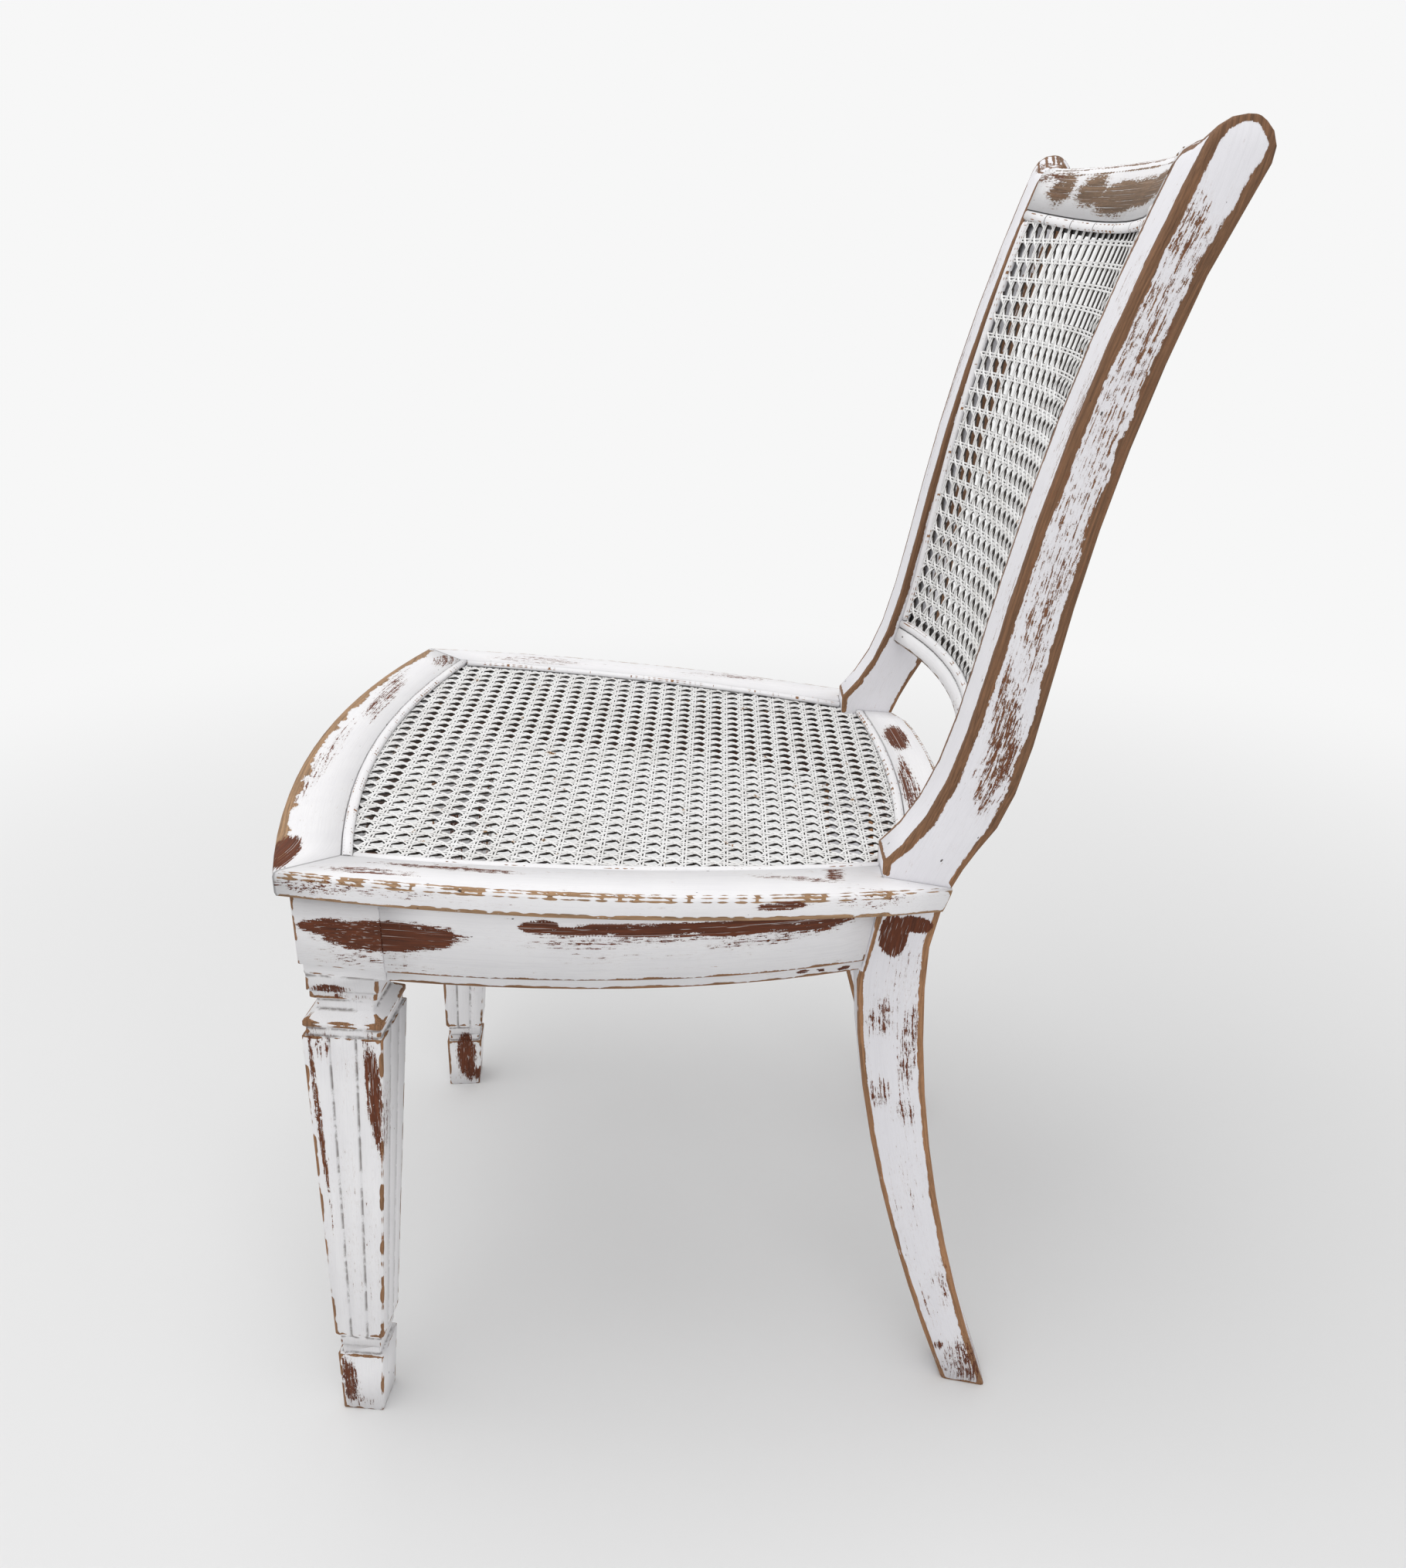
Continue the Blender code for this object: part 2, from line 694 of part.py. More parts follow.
def make_crest(wood):
    """Crest rail, hollow to the sitter, its top rising to both posts."""
    loops = []
    for k in range(21):
        f = k / 10 - 1
        rise = smooth((abs(f) - HORN_START) / HORN_LENGTH)
        top = BACK_HEIGHT - mix(CREST_TOP_MID, CREST_TOP_END, rise)
        line = crest_open(f)
        low = line - LEDGE
        r = CREST_ROUND
        soft = ROUND_MID * r
        outline = [(0, line), (0, top - r), (soft, top - soft), (r, top)]
        outline += [(CREST_THICK - r, top - 0.2 * r)]
        outline += [(CREST_THICK - soft, top - 0.6 * r), (CREST_THICK, top - 1.4 * r)]
        outline += [(CREST_THICK, low), (RABBET, low), (RABBET, line)]
        loop = []
        for deep, z in outline:
            y = back_face(f, z) + deep
            loop.append((f * (post_inner(y) - CLEAR), y, z))
        loops.append(loop)
    return loft("crest_rail", loops, wood)


def make_low_rail(wood):
    """Lower back rail: a plain band under the cane's lower edge."""
    loops = []
    line = low_open()
    for k in range(13):
        f = k / 6 - 1
        outline = [(0, line), (0, LOW_RAIL + LOW_ROUND), (LOW_ROUND, LOW_RAIL)]
        outline += [(LOW_THICK, LOW_RAIL)]
        outline += [(LOW_THICK, line + LEDGE), (RABBET, line + LEDGE), (RABBET, line)]
        loop = []
        for deep, z in outline:
            y = back_face(f, z) + deep
            loop.append((f * (post_inner(y) - CLEAR), y, z))
        loops.append(loop)
    return loft("lower_back_rail", loops, wood)


def cane_sheet(name, gaps, margins, place, cane):
    """Woven wall: raised strands round eight-sided gaps.

    place(a, b, deep) gives a point at the shares a (-1 to 1) and b (0 to 1)
    of the opening, deep below the strands' lowest top face.
    """
    columns, rows = gaps
    across = [-1] + [mix(-1 + margins[0], 1 - margins[0], i / columns) for i in range(columns + 1)]
    across += [1]
    up = [0] + [mix(margins[1], 1 - margins[1], j / rows) for j in range(rows + 1)] + [1]
    build = bmesh.new()
    grid = {}
    for i, a in enumerate(across):
        for j, b in enumerate(up):
            inside = 0 < i < len(across) - 1 and 0 < j < len(up) - 1
            ridge = CANE_RIDGE if inside else 0.0
            grid[i, j, 0] = build.verts.new(place(a, b, -ridge))
            grid[i, j, 1] = build.verts.new(place(a, b, CANE_THICK))

    def both(make):
        """Same face on the top and the underside."""
        for face in (0, 1):
            build.faces.new(make(face))

    share, cut = GAP_SHARE, GAP_CORNER
    ring = [(-cut, -share), (cut, -share), (share, -cut), (share, cut)]
    ring += [(cut, share), (-cut, share), (-share, cut), (-share, -cut)]
    for i in range(len(across) - 1):
        for j in range(len(up) - 1):
            corners = [(i, j), (i + 1, j), (i + 1, j + 1), (i, j + 1)]
            if not (0 < i <= columns and 0 < j <= rows):
                both(lambda face: [grid[c[0], c[1], face] for c in corners])
                continue
            hole = {}
            for n, (u, v) in enumerate(ring):
                a = mix(across[i], across[i + 1], 0.5 + u)
                b = mix(up[j], up[j + 1], 0.5 + v)
                hole[n, 0] = build.verts.new(place(a, b, 0.0))
                hole[n, 1] = build.verts.new(place(a, b, CANE_THICK))
            for s in range(4):
                c, d = corners[s], corners[(s + 1) % 4]
                near, far, last = 2 * s, 2 * s + 1, (2 * s - 1) % 8
                for face in (0, 1):
                    ends = (grid[c[0], c[1], face], grid[d[0], d[1], face])
                    build.faces.new((ends[0], ends[1], hole[far, face], hole[near, face]))
                    build.faces.new((ends[0], hole[near, face], hole[last, face]))
            for n in range(8):
                m = (n + 1) % 8
                build.faces.new((hole[n, 0], hole[m, 0], hole[m, 1], hole[n, 1]))
    edge = [(i, 0) for i in range(len(across) - 1)]
    edge += [(len(across) - 1, j) for j in range(len(up) - 1)]
    edge += [(i, len(up) - 1) for i in range(len(across) - 1, 0, -1)]
    edge += [(0, j) for j in range(len(up) - 1, 0, -1)]
    for n, here in enumerate(edge):
        there = edge[(n + 1) % len(edge)]
        build.faces.new((grid[(*here, 0)], grid[(*there, 0)], grid[(*there, 1)], grid[(*here, 1)]))
    return add_object(name, build, cane)


def seat_point(a, b, deep):
    """Point of the seat's cane, under the level of the frame."""
    front = front_line(0)
    rear = rear_line(0)
    for _ in range(4):
        front = front_line(a * open_half(front))
        rear = rear_line(a * open_half(rear))
    y = mix(front + CLEAR, rear - 1.5 * CLEAR, b)
    x = a * (open_half(y) - CLEAR)
    return (x, y, rim_top(y) - RABBET + CLEAR + CANE_THICK - deep)


def back_point(a, b, deep):
    """Point of the back's cane, behind the level of its rails."""
    z = mix(low_open() + CLEAR, crest_open(a) - CLEAR, b)
    y = back_face(a, z) + RABBET - CLEAR - CANE_THICK + deep
    return (a * (post_inner(y) - CLEAR), y, z)


def make_cane(cane):
    """Seat and back panels."""
    width = 2 * open_half(TOE / 2)
    depth = rear_line(0) - front_line(0)
    margins = (2 * CANE_MARGIN / width, CANE_MARGIN / depth)
    seat = cane_sheet("seat_cane", SEAT_GAPS, margins, seat_point, cane)
    for side in (1, -1):
        start = TOE - 2 * CLEAR
        end = rear_line(0)
        room = [(post_inner(start) - 1.1 * CLEAR, start), (FRONT_HALF, start)]
        room += [(FRONT_HALF, end), (post_inner(end) - 1.1 * CLEAR, end)]
        room = [(side * x, y) for x, y in room]
        low, high = rim_bottom(end) - 0.01, rim_top(start) + 0.01
        combine(seat, prism("room", room, low, high), "DIFFERENCE")
    width = 2 * post_inner(back_face(1, mix(low_open(), crest_open(1), 0.5)))
    depth = crest_open(1) - low_open()
    margins = (2 * CANE_MARGIN / width, CANE_MARGIN / depth)
    cane_sheet("back_cane", BACK_GAPS, margins, back_point, cane)


def make_splines(cane):
    """Half-round reed splines in the rebates of the seat and the back."""
    seat = RABBET - 2 * CLEAR - CANE_THICK - CANE_RIDGE
    crown = -SPLINE_CROWN
    w = SPLINE_WIDTH
    half_round = [(0, seat), (0, mix(seat, crown, 0.62)), (0.2 * w, mix(seat, crown, 0.93))]
    half_round += [(0.5 * w, crown), (0.8 * w, mix(seat, crown, 0.93))]
    half_round += [(w, mix(seat, crown, 0.62)), (w, seat)]
    cx, cy = frame_corner()

    def over_seat(x, y, deep):
        """Point deep below the top of the seat frame."""
        return (x, y, rim_top(y) - deep)

    loops = []
    for k in range(13):
        x = (k / 6 - 1) * cx
        line = front_line(x) + 2 * CLEAR
        loop = []
        for away, deep in half_round:
            y = line + away
            reach = min(1.0, (open_half(y) - 2 * CLEAR) / cx)
            loop.append(over_seat(x * reach, y, deep))
        loops.append(loop)
    loft("seat_spline_front", loops, cane)

    for side, word in ((1, "left"), (-1, "right")):
        loops = []
        for k in range(10):
            y = mix(cy + w + 4 * CLEAR, TOE - 3 * CLEAR, k / 9)
            line = open_half(y) - 2 * CLEAR
            loops.append([over_seat(side * (line - away), y, deep) for away, deep in half_round])
        loft("seat_spline_" + word, loops, cane)

    loops = []
    for k in range(11):
        f = k / 5 - 1
        line = rear_line(f * POST_IN) - 2 * CLEAR
        loop = []
        for away, deep in half_round:
            y = line - away
            loop.append(over_seat(f * (POST_IN - 2 * CLEAR), y, deep))
        loops.append(loop)
    loft("seat_spline_rear", loops, cane)

    for word, start, sign in (("top", crest_open, -1), ("bottom", lambda f: low_open(), 1)):
        loops = []
        for k in range(13):
            f = k / 6 - 1
            loop = []
            for away, deep in half_round:
                z = start(f) + sign * (away + 2 * CLEAR)
                y = back_face(f, z) + deep
                loop.append((f * (post_inner(y) - 2 * CLEAR), y, z))
            loops.append(loop)
        loft("back_spline_" + word, loops, cane)

    for side, word in ((1, "left"), (-1, "right")):
        heights = [mix(low_open(), crest_open(1), b) for b in back_rows()]
        heights = [low_open() + w + 4 * CLEAR] + heights
        heights += [crest_open(0.95) - w - 5 * CLEAR]
        loops = []
        for z in heights:
            loop = []
            for away, deep in half_round:
                x = post_inner(back_face(1, z)) - 2 * CLEAR - away
                f = x / (post_inner(back_face(1, z)) - 2 * CLEAR)
                y = back_face(f, z) + deep
                x = f * (post_inner(y) - 2 * CLEAR)
                loop.append((side * x, y, z))
            loops.append(loop)
        loft("back_spline_" + word, loops, cane)


def drill(start, axis, radius, length):
    """Eight-sided rod used as a hole or as part of a screw."""
    axis = Vector(axis).normalized()
    first = axis.orthogonal().normalized()
    second = axis.cross(first)
    ends = []
    for far in (0, length):
        centre = Vector(start) + axis * far
        ends.append([centre + (first * math.cos(a) + second * math.sin(a)) * radius
                     for a in (math.tau * k / 8 for k in range(8))])
    return loft("hole", ends, None)


def screw(name, head, axis, hosts, steel):
    """Round-headed screw, and the pocket and holes for it in what it joins."""
    axis = Vector(axis).normalized()
    first = axis.orthogonal().normalized()
    second = axis.cross(first)
    head = Vector(head)
    for host in hosts:
        combine(host, drill(head - axis * 0.03, axis, SCREW_HEAD + 2 * CLEAR, 0.03), "DIFFERENCE")
        room = SCREW_LONG + CLEAR
        start = head - axis * 0.001
        combine(host, drill(start, axis, SCREW_RADIUS + 2 * CLEAR, room + 0.001), "DIFFERENCE")
    turned = [(-SCREW_HEAD_HIGH, SCREW_HEAD * 0.6), (-SCREW_HEAD_HIGH * 0.4, SCREW_HEAD)]
    turned += [(-CLEAR, SCREW_HEAD), (-CLEAR, SCREW_RADIUS)]
    turned += [(SCREW_LONG - SCREW_POINT, SCREW_RADIUS), (SCREW_LONG, SCREW_RADIUS * 0.25)]
    rings = []
    for along, radius in turned:
        centre = head + axis * along
        rings.append([centre + (first * math.cos(a) + second * math.sin(a)) * radius
                      for a in (math.tau * k / 8 for k in range(8))])
    loft(name, rings, steel)


def make_blocks(wood, steel, front, sides, rear):
    """Corner blocks glued and screwed behind the legs."""
    for side, word in ((1, "left"), (-1, "right")):
        near = apron_side(STUMP_REAR) - STUMP_WIDE - BLOCK_OFF_LEG
        behind = STUMP_REAR + BLOCK_OFF_LEG
        plan = []
        for x in (near - BLOCK_LEG, near):
            plan.append((x, apron_front(x) + APRON_THICK + BLOCK_GLUE))
        plan.append((near, behind))
        for y in (behind, behind + BLOCK_LEG):
            plan.append((apron_side(y) - APRON_THICK - BLOCK_GLUE, y))
        make_block("front_" + word, plan, side, wood, steel, (sides[word], front), 1)

        ahead = TOE - WAIST_FRONT - BLOCK_OFF_POST
        near = post_inner(ahead) - BLOCK_OFF_LEG
        plan = []
        for y in (ahead - BLOCK_LEG, ahead):
            plan.append((apron_side(y) - APRON_THICK - BLOCK_GLUE, y))
        plan.append((near, ahead))
        for x in (near, near - BLOCK_LEG):
            plan.append((x, rear_apron(x / POST_IN) - APRON_THICK - BLOCK_GLUE))
        make_block("rear_" + word, plan, side, wood, steel, (sides[word], rear), -1)


def make_block(word, plan, side, wood, steel, aprons, sense):
    """One corner block, with a screw into each of the two aprons it joins."""
    centre_y = sum(y for _, y in plan) / len(plan)
    high = rim_bottom(centre_y) - BLOCK_DROP
    low = high - BLOCK_HIGH
    middle = (low + high) / 2
    loops = [[(side * x, y, z) for x, y in plan] for z in (low, high)]
    block = loft("corner_block_" + word, loops, wood)
    if sense > 0:
        to_side, to_cross = plan[4], plan[0]
        cross_axis = (0, -1, 0)
    else:
        to_side, to_cross = plan[0], plan[4]
        cross_axis = (0, 1, 0)
    x = to_side[0] - (SCREW_LONG - SCREW_BITE)
    y = to_side[1] - sense * SCREW_IN
    screw("block_screw_" + word + "_a", (side * x, y, middle + SCREW_STAGGER), (side, 0, 0),
          (block, aprons[0]), steel)
    x = to_cross[0] + SCREW_IN
    y = to_cross[1] + sense * (SCREW_LONG - SCREW_BITE)
    screw("block_screw_" + word + "_b", (side * x, y, middle - SCREW_STAGGER), cross_axis,
          (block, aprons[1]), steel)


def main():
    """Build the chair, then centre it over the floor."""
    for obj in list(bpy.data.objects):
        bpy.data.objects.remove(obj)
    wood = paint("painted_wood", (0.86, 0.85, 0.84), 0.55)
    cane = paint("painted_cane", (0.88, 0.87, 0.85), 0.6)
    bare = paint("stained_wood", (0.16, 0.07, 0.03), 0.6)
    steel = paint("screw_steel", (0.45, 0.42, 0.38), 0.45, 1.0)

    make_seat_frame(wood)
    front, left, right, rear = make_aprons(wood)
    sides = {"left": left, "right": right}
    crest = make_crest(wood)
    low_rail = make_low_rail(wood)
    for side, word in ((1, "left"), (-1, "right")):
        leg = make_front_leg(side, word, wood)
        post = make_post(side, word, wood)
        inner = apron_side(STUMP_REAR) - STUMP_WIDE
        y = apron_front(inner) + APRON_THICK / 2
        z = (rim_bottom(y) + apron_bottom(y)) / 2
        tenon(front, leg, (side * inner, y, z), (side, 0, 0), APRON_FRONT)
        y = STUMP_REAR
        x = apron_side(y) - APRON_THICK / 2
        z = (rim_bottom(y) + apron_bottom(y)) / 2
        tenon(sides[word], leg, (side * x, y, z), (0, 1, 0), APRON_FRONT)
        y = TOE - WAIST_FRONT / 2
        x = apron_side(y) - APRON_THICK / 2
        z = (rim_bottom(y) + apron_bottom(y)) / 2
        tenon(sides[word], post, (side * x, y, z), (0, 1, 0), APRON_REAR)
        y = rear_apron(1) - APRON_THICK / 2
        z = (rim_bottom(y) + apron_bottom(y)) / 2
        tenon(rear, post, (side * POST_IN, y, z), (side, 0, 0), APRON_REAR)
    make_cane(cane)
    make_splines(cane)
    make_blocks(bare, steel, front, sides, rear)

    low = min((o.matrix_world @ v.co).y for o in bpy.data.objects for v in o.data.vertices)
    high = max((o.matrix_world @ v.co).y for o in bpy.data.objects for v in o.data.vertices)
    for obj in bpy.data.objects:
        obj.location.y = -(low + high) / 2


main()
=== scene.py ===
"""Caned dining chair in chalky white paint, sanded through to the wood."""
import math

import bmesh
import bpy
import numpy as np
from mathutils import Matrix, Vector
from mathutils.bvhtree import BVHTree
from mathutils.kdtree import KDTree


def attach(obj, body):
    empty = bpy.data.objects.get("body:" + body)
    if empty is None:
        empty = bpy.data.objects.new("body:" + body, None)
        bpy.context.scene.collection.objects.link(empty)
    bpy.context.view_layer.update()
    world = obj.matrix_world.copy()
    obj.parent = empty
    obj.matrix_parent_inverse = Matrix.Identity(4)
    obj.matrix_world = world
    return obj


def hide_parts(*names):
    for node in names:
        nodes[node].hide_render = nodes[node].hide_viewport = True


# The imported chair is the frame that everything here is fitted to. Its box is
# kept, so that the finished looks can be held to the same size.
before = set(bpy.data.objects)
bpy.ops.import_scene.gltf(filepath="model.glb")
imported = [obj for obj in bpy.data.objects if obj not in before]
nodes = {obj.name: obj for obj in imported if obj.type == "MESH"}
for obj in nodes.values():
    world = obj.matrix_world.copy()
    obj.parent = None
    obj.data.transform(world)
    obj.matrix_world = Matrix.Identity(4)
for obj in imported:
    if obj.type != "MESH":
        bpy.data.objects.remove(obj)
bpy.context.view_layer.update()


# The front legs are square-turned beech: a stump behind the aprons, a moulded
# cap, a fluted taper and a block foot. They are painted like all of the frame,
# so what finds a board's arrises, joints, grain and worn places is here first.
ARRIS_ANGLE = math.radians(17)
SOFT_ANGLE = math.radians(50)
CUT_LENGTH = 0.0034
LEG_CUT = 1.35 * CUT_LENGTH
FAR = 0.03
NEAR = 0.004
JOINT_GAP = 0.0020
WELD = 0.00002
ARRIS_STEP = 0.0015
BOARD_STATIONS = 48
STAIN_REACH = 1.9
KERF_START = 0.0385
KERF_STEP = 0.0468
STUMP_LOW = 0.381


def neighbours(name):
    """Search tree of all the other solids that come near this one."""
    own = np.array(nodes[name].bound_box)
    low, high = own.min(axis=0) - NEAR, own.max(axis=0) + NEAR
    points, faces = [], []
    for other, node in nodes.items():
        box = np.array(node.bound_box)
        apart = (box.min(axis=0) > high).any() or (box.max(axis=0) < low).any()
        if other == name or apart:
            continue
        first = len(points)
        points += [vert.co for vert in node.data.vertices]
        faces += [[first + k for k in face.vertices] for face in node.data.polygons]
    return BVHTree.FromPolygons(points, faces)


def corner_tree(build, sense, others, keep_off):
    """Points along the bare outer arrises (sense 1) or inner corners (sense -1)."""
    points = []
    for edge in build.edges:
        if len(edge.link_faces) != 2:
            continue
        if sense * edge.calc_face_angle_signed(0.0) < ARRIS_ANGLE:
            continue
        a, b = (vert.co for vert in edge.verts)
        steps = max(1, int((b - a).length / ARRIS_STEP))
        points += [a.lerp(b, k / steps) for k in range(steps + 1)]
    if sense > 0:
        points = [point for point in points if others.find_nearest(point, JOINT_GAP)[0] is None
                  and (keep_off is None or keep_off[0].find(point)[2] > keep_off[1])]
    tree = KDTree(len(points))
    for k, point in enumerate(points):
        tree.insert(point, k)
    tree.balance()
    return tree, len(points)


def cut_fine(build, longest):
    """Cuts every edge until none is longer than longest."""
    for _ in range(10):
        edges = [edge for edge in build.edges if edge.calc_length() > longest]
        if not edges:
            break
        bmesh.ops.subdivide_edges(build, edges=edges, cuts=1)
        bmesh.ops.triangulate(build, faces=[f for f in build.faces if len(f.verts) > 3])


def board_places(points, axis):
    """Each point's length along its board and its two offsets from the middle."""
    low, high = points[:, axis].min(), points[:, axis].max()
    count = BOARD_STATIONS
    bins = np.clip(((points[:, axis] - low) / (high - low) * count).astype(int), 0, count - 1)
    stations = low + (np.arange(count) + 0.5) / count * (high - low)
    others = [k for k in range(3) if k != axis]
    middles = []
    for k in others:
        least = np.full(count, np.inf)
        most = np.full(count, -np.inf)
        np.minimum.at(least, bins, points[:, k])
        np.maximum.at(most, bins, points[:, k])
        filled = np.isfinite(least)
        middle = np.interp(stations, stations[filled], (least + most)[filled] / 2)
        middle = np.convolve(np.pad(middle, 2, mode="edge"), np.ones(5) / 5, mode="valid")
        middles.append(middle)
    steps = np.sqrt(sum(np.diff(row) ** 2 for row in [stations] + middles))
    length = np.concatenate([[0], np.cumsum(steps)])
    along = np.interp(points[:, axis], stations, length)
    offsets = [points[:, k] - np.interp(points[:, axis], stations, row)
               for k, row in zip(others, middles)]
    return np.stack([along] + offsets, axis=1)


def patch_fields(points, patches):
    """Rub and stain of the worn patches.

    Each patch is a centre, three radii, its strength, how softly its border
    fades as a share of the radii, and how dark the wood in it is.
    """
    rub = np.zeros(len(points))
    stain = np.zeros(len(points))
    for centre, radii, strength, soft, dark in patches:
        away = np.linalg.norm((points - np.array(centre)) / np.array(radii), axis=1)
        rub = np.maximum(rub, strength * np.clip((1 + soft / 2 - away) / soft, 0, 1))
        stain = np.maximum(stain, dark * np.clip(STAIN_REACH - away, 0, 1))
    return rub, stain


def read(items, field, width=3, kind=float):
    """Numbers of a mesh's items, in rows of width."""
    values = np.empty(len(items) * width, dtype=kind)
    items.foreach_get(field, values)
    return values.reshape(-1, width) if width > 1 else values


def write(mesh, name, values, domain="POINT"):
    """Stores numbers or vectors on a mesh."""
    kind = "FLOAT_VECTOR" if values.ndim == 2 else "FLOAT"
    layer = mesh.attributes.new(name, kind, domain)
    layer.data.foreach_set("vector" if values.ndim == 2 else "value", values.ravel())


def dressed(name, axis, material, patches=(), bare=None, band=0.003, keep_off=0.0, level=None,
            cut=CUT_LENGTH):
    """Fine copy of a CAD node that knows its arrises, grain and worn places.

    band is how far the sanding reaches in from an arris, as a number or as a
    function of the points. Arrises nearer than keep_off to an inner corner
    stay painted. Above the height level the brush went along Y. No edge of
    the copy is longer than cut.
    """
    build = bmesh.new()
    build.from_mesh(nodes[name].data)
    bmesh.ops.remove_doubles(build, verts=build.verts, dist=WELD)
    build.faces.ensure_lookup_table()
    source = build.faces.layers.int.new("source")
    for face in build.faces:
        face[source] = face.index
        face.smooth = True
    coarse = bpy.data.meshes.new(name + "_coarse")
    build.to_mesh(coarse)
    coarse.set_sharp_from_angle(angle=SOFT_ANGLE)
    others = neighbours(name)
    hollows, count = corner_tree(build, -1, others, None)
    off = (hollows, keep_off) if count and keep_off else None
    trees = {"edge": corner_tree(build, 1, others, off), "cavity": (hollows, count)}
    cut_fine(build, cut)
    mesh = bpy.data.meshes.new(name + "_painted")
    build.to_mesh(mesh)
    build.free()

    points = read(mesh.vertices, "co")
    for layer, (tree, count) in trees.items():
        if count:
            reach = np.array([min(tree.find(point)[2], FAR) for point in points])
        else:
            reach = np.full(len(points), FAR)
        write(mesh, layer, reach)
    gaps = [others.find_nearest(point, NEAR)[3] for point in points]
    write(mesh, "gap", np.array([FAR if gap is None else gap for gap in gaps]))
    board = board_places(points, axis)
    if level is not None:
        high = points[:, 2] > level
        board[high] = points[high][:, [1, 0, 2]]
    write(mesh, "board", board)
    rub, stain = patch_fields(points, patches)
    write(mesh, "rub", rub)
    write(mesh, "stain", stain)
    write(mesh, "band", band(points) if callable(band) else np.full(len(points), band))

    # Each fine corner takes its normal from the coarse face that it lies on.
    ids = read(mesh.attributes["source"].data, "value", 1, np.int32)
    corners = read(coarse.loops, "vertex_index", 1, np.int32).reshape(-1, 3)
    normals = read(coarse.corner_normals, "vector").reshape(-1, 3, 3)
    places = read(coarse.vertices, "co")[corners]
    owner = np.repeat(ids, 3)
    spot = points[read(mesh.loops, "vertex_index", 1, np.int32)]
    a, b, c = places[owner, 0], places[owner, 1], places[owner, 2]
    whole = np.cross(b - a, c - a)
    area = np.maximum((whole ** 2).sum(axis=1), 1e-24)
    wb = (np.cross(spot - a, c - a) * whole).sum(axis=1) / area
    wc = (np.cross(b - a, spot - a) * whole).sum(axis=1) / area
    wb, wc = np.clip(wb, 0, 1), np.clip(wc, 0, 1)
    wa = np.clip(1 - wb - wc, 0, 1)
    smooth = normals[owner, 0] * wa[:, None] + normals[owner, 1] * wb[:, None]
    smooth += normals[owner, 2] * wc[:, None]
    smooth /= np.maximum(np.linalg.norm(smooth, axis=1), 1e-9)[:, None]
    mesh.normals_split_custom_set(smooth.tolist())

    faces = np.cross(places[:, 1] - places[:, 0], places[:, 2] - places[:, 0])
    faces /= np.maximum(np.linalg.norm(faces, axis=1), 1e-12)[:, None]
    if bare is None:
        shown = np.zeros(len(ids))
    else:
        shown = np.array([bare(places[k].mean(axis=0), faces[k]) for k in range(len(faces))])[ids]
    write(mesh, "bare", shown, "FACE")
    mesh.attributes.remove(mesh.attributes["source"])
    bpy.data.meshes.remove(coarse)

    piece = bpy.data.objects.new(name + "_painted", mesh)
    bpy.context.scene.collection.objects.link(piece)
    mesh.materials.append(material)
    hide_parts(name)
    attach(piece, "root")
    return piece


def add(tree, kind, inputs=None, **settings):
    """Adds a shader or geometry node and wires or sets its inputs."""
    made = tree.nodes.new(kind)
    for key, value in settings.items():
        setattr(made, key, value)
    for key, value in (inputs or {}).items():
        if isinstance(value, bpy.types.NodeSocket):
            tree.links.new(value, made.inputs[key])
        else:
            made.inputs[key].default_value = value
    return made


def maths(tree, operation, *values, clamp=False):
    """One maths node's result."""
    inputs = dict(enumerate(values))
    return add(tree, "ShaderNodeMath", inputs, operation=operation, use_clamp=clamp).outputs[0]


def ramp(tree, value, low, high, start=0.0, end=1.0, kind="SMOOTHSTEP"):
    """Value between low and high eased to between start and end."""
    inputs = {0: value, 1: low, 2: high, 3: start, 4: end}
    return add(tree, "ShaderNodeMapRange", inputs, interpolation_type=kind).outputs[0]


def noise(tree, vector, scale, detail=3.0, rough=0.55):
    """Noise between 0 and 1."""
    inputs = {"Vector": vector, "Scale": scale, "Detail": detail, "Roughness": rough}
    return add(tree, "ShaderNodeTexNoise", inputs).outputs[0]


def stretched(tree, vector, along, across):
    """The board's places, drawn out along its grain."""
    inputs = {0: vector, 1: (along, across, across)}
    return add(tree, "ShaderNodeVectorMath", inputs, operation="MULTIPLY").outputs[0]


def blend(tree, share, first, second, kind="MIX"):
    """Two colours mixed."""
    inputs = {0: share, 6: first, 7: second}
    return add(tree, "ShaderNodeMix", inputs, data_type="RGBA", blend_type=kind).outputs[2]


def grey(tree, value):
    """Colour with all three channels the same."""
    return add(tree, "ShaderNodeCombineColor", {0: value, 1: value, 2: value}).outputs[0]


def swing(tree, value, amount):
    """Noise centred on 0 and scaled."""
    return maths(tree, "MULTIPLY", maths(tree, "SUBTRACT", value, 0.5), amount)


def object_place(tree):
    """Place on the piece, in metres."""
    return add(tree, "ShaderNodeTexCoord").outputs["Object"]


def new_material(name):
    """Material, with its tree and its surface shader."""
    material = bpy.data.materials.new(name)
    material.use_nodes = True
    return material, material.node_tree, material.node_tree.nodes["Principled BSDF"]


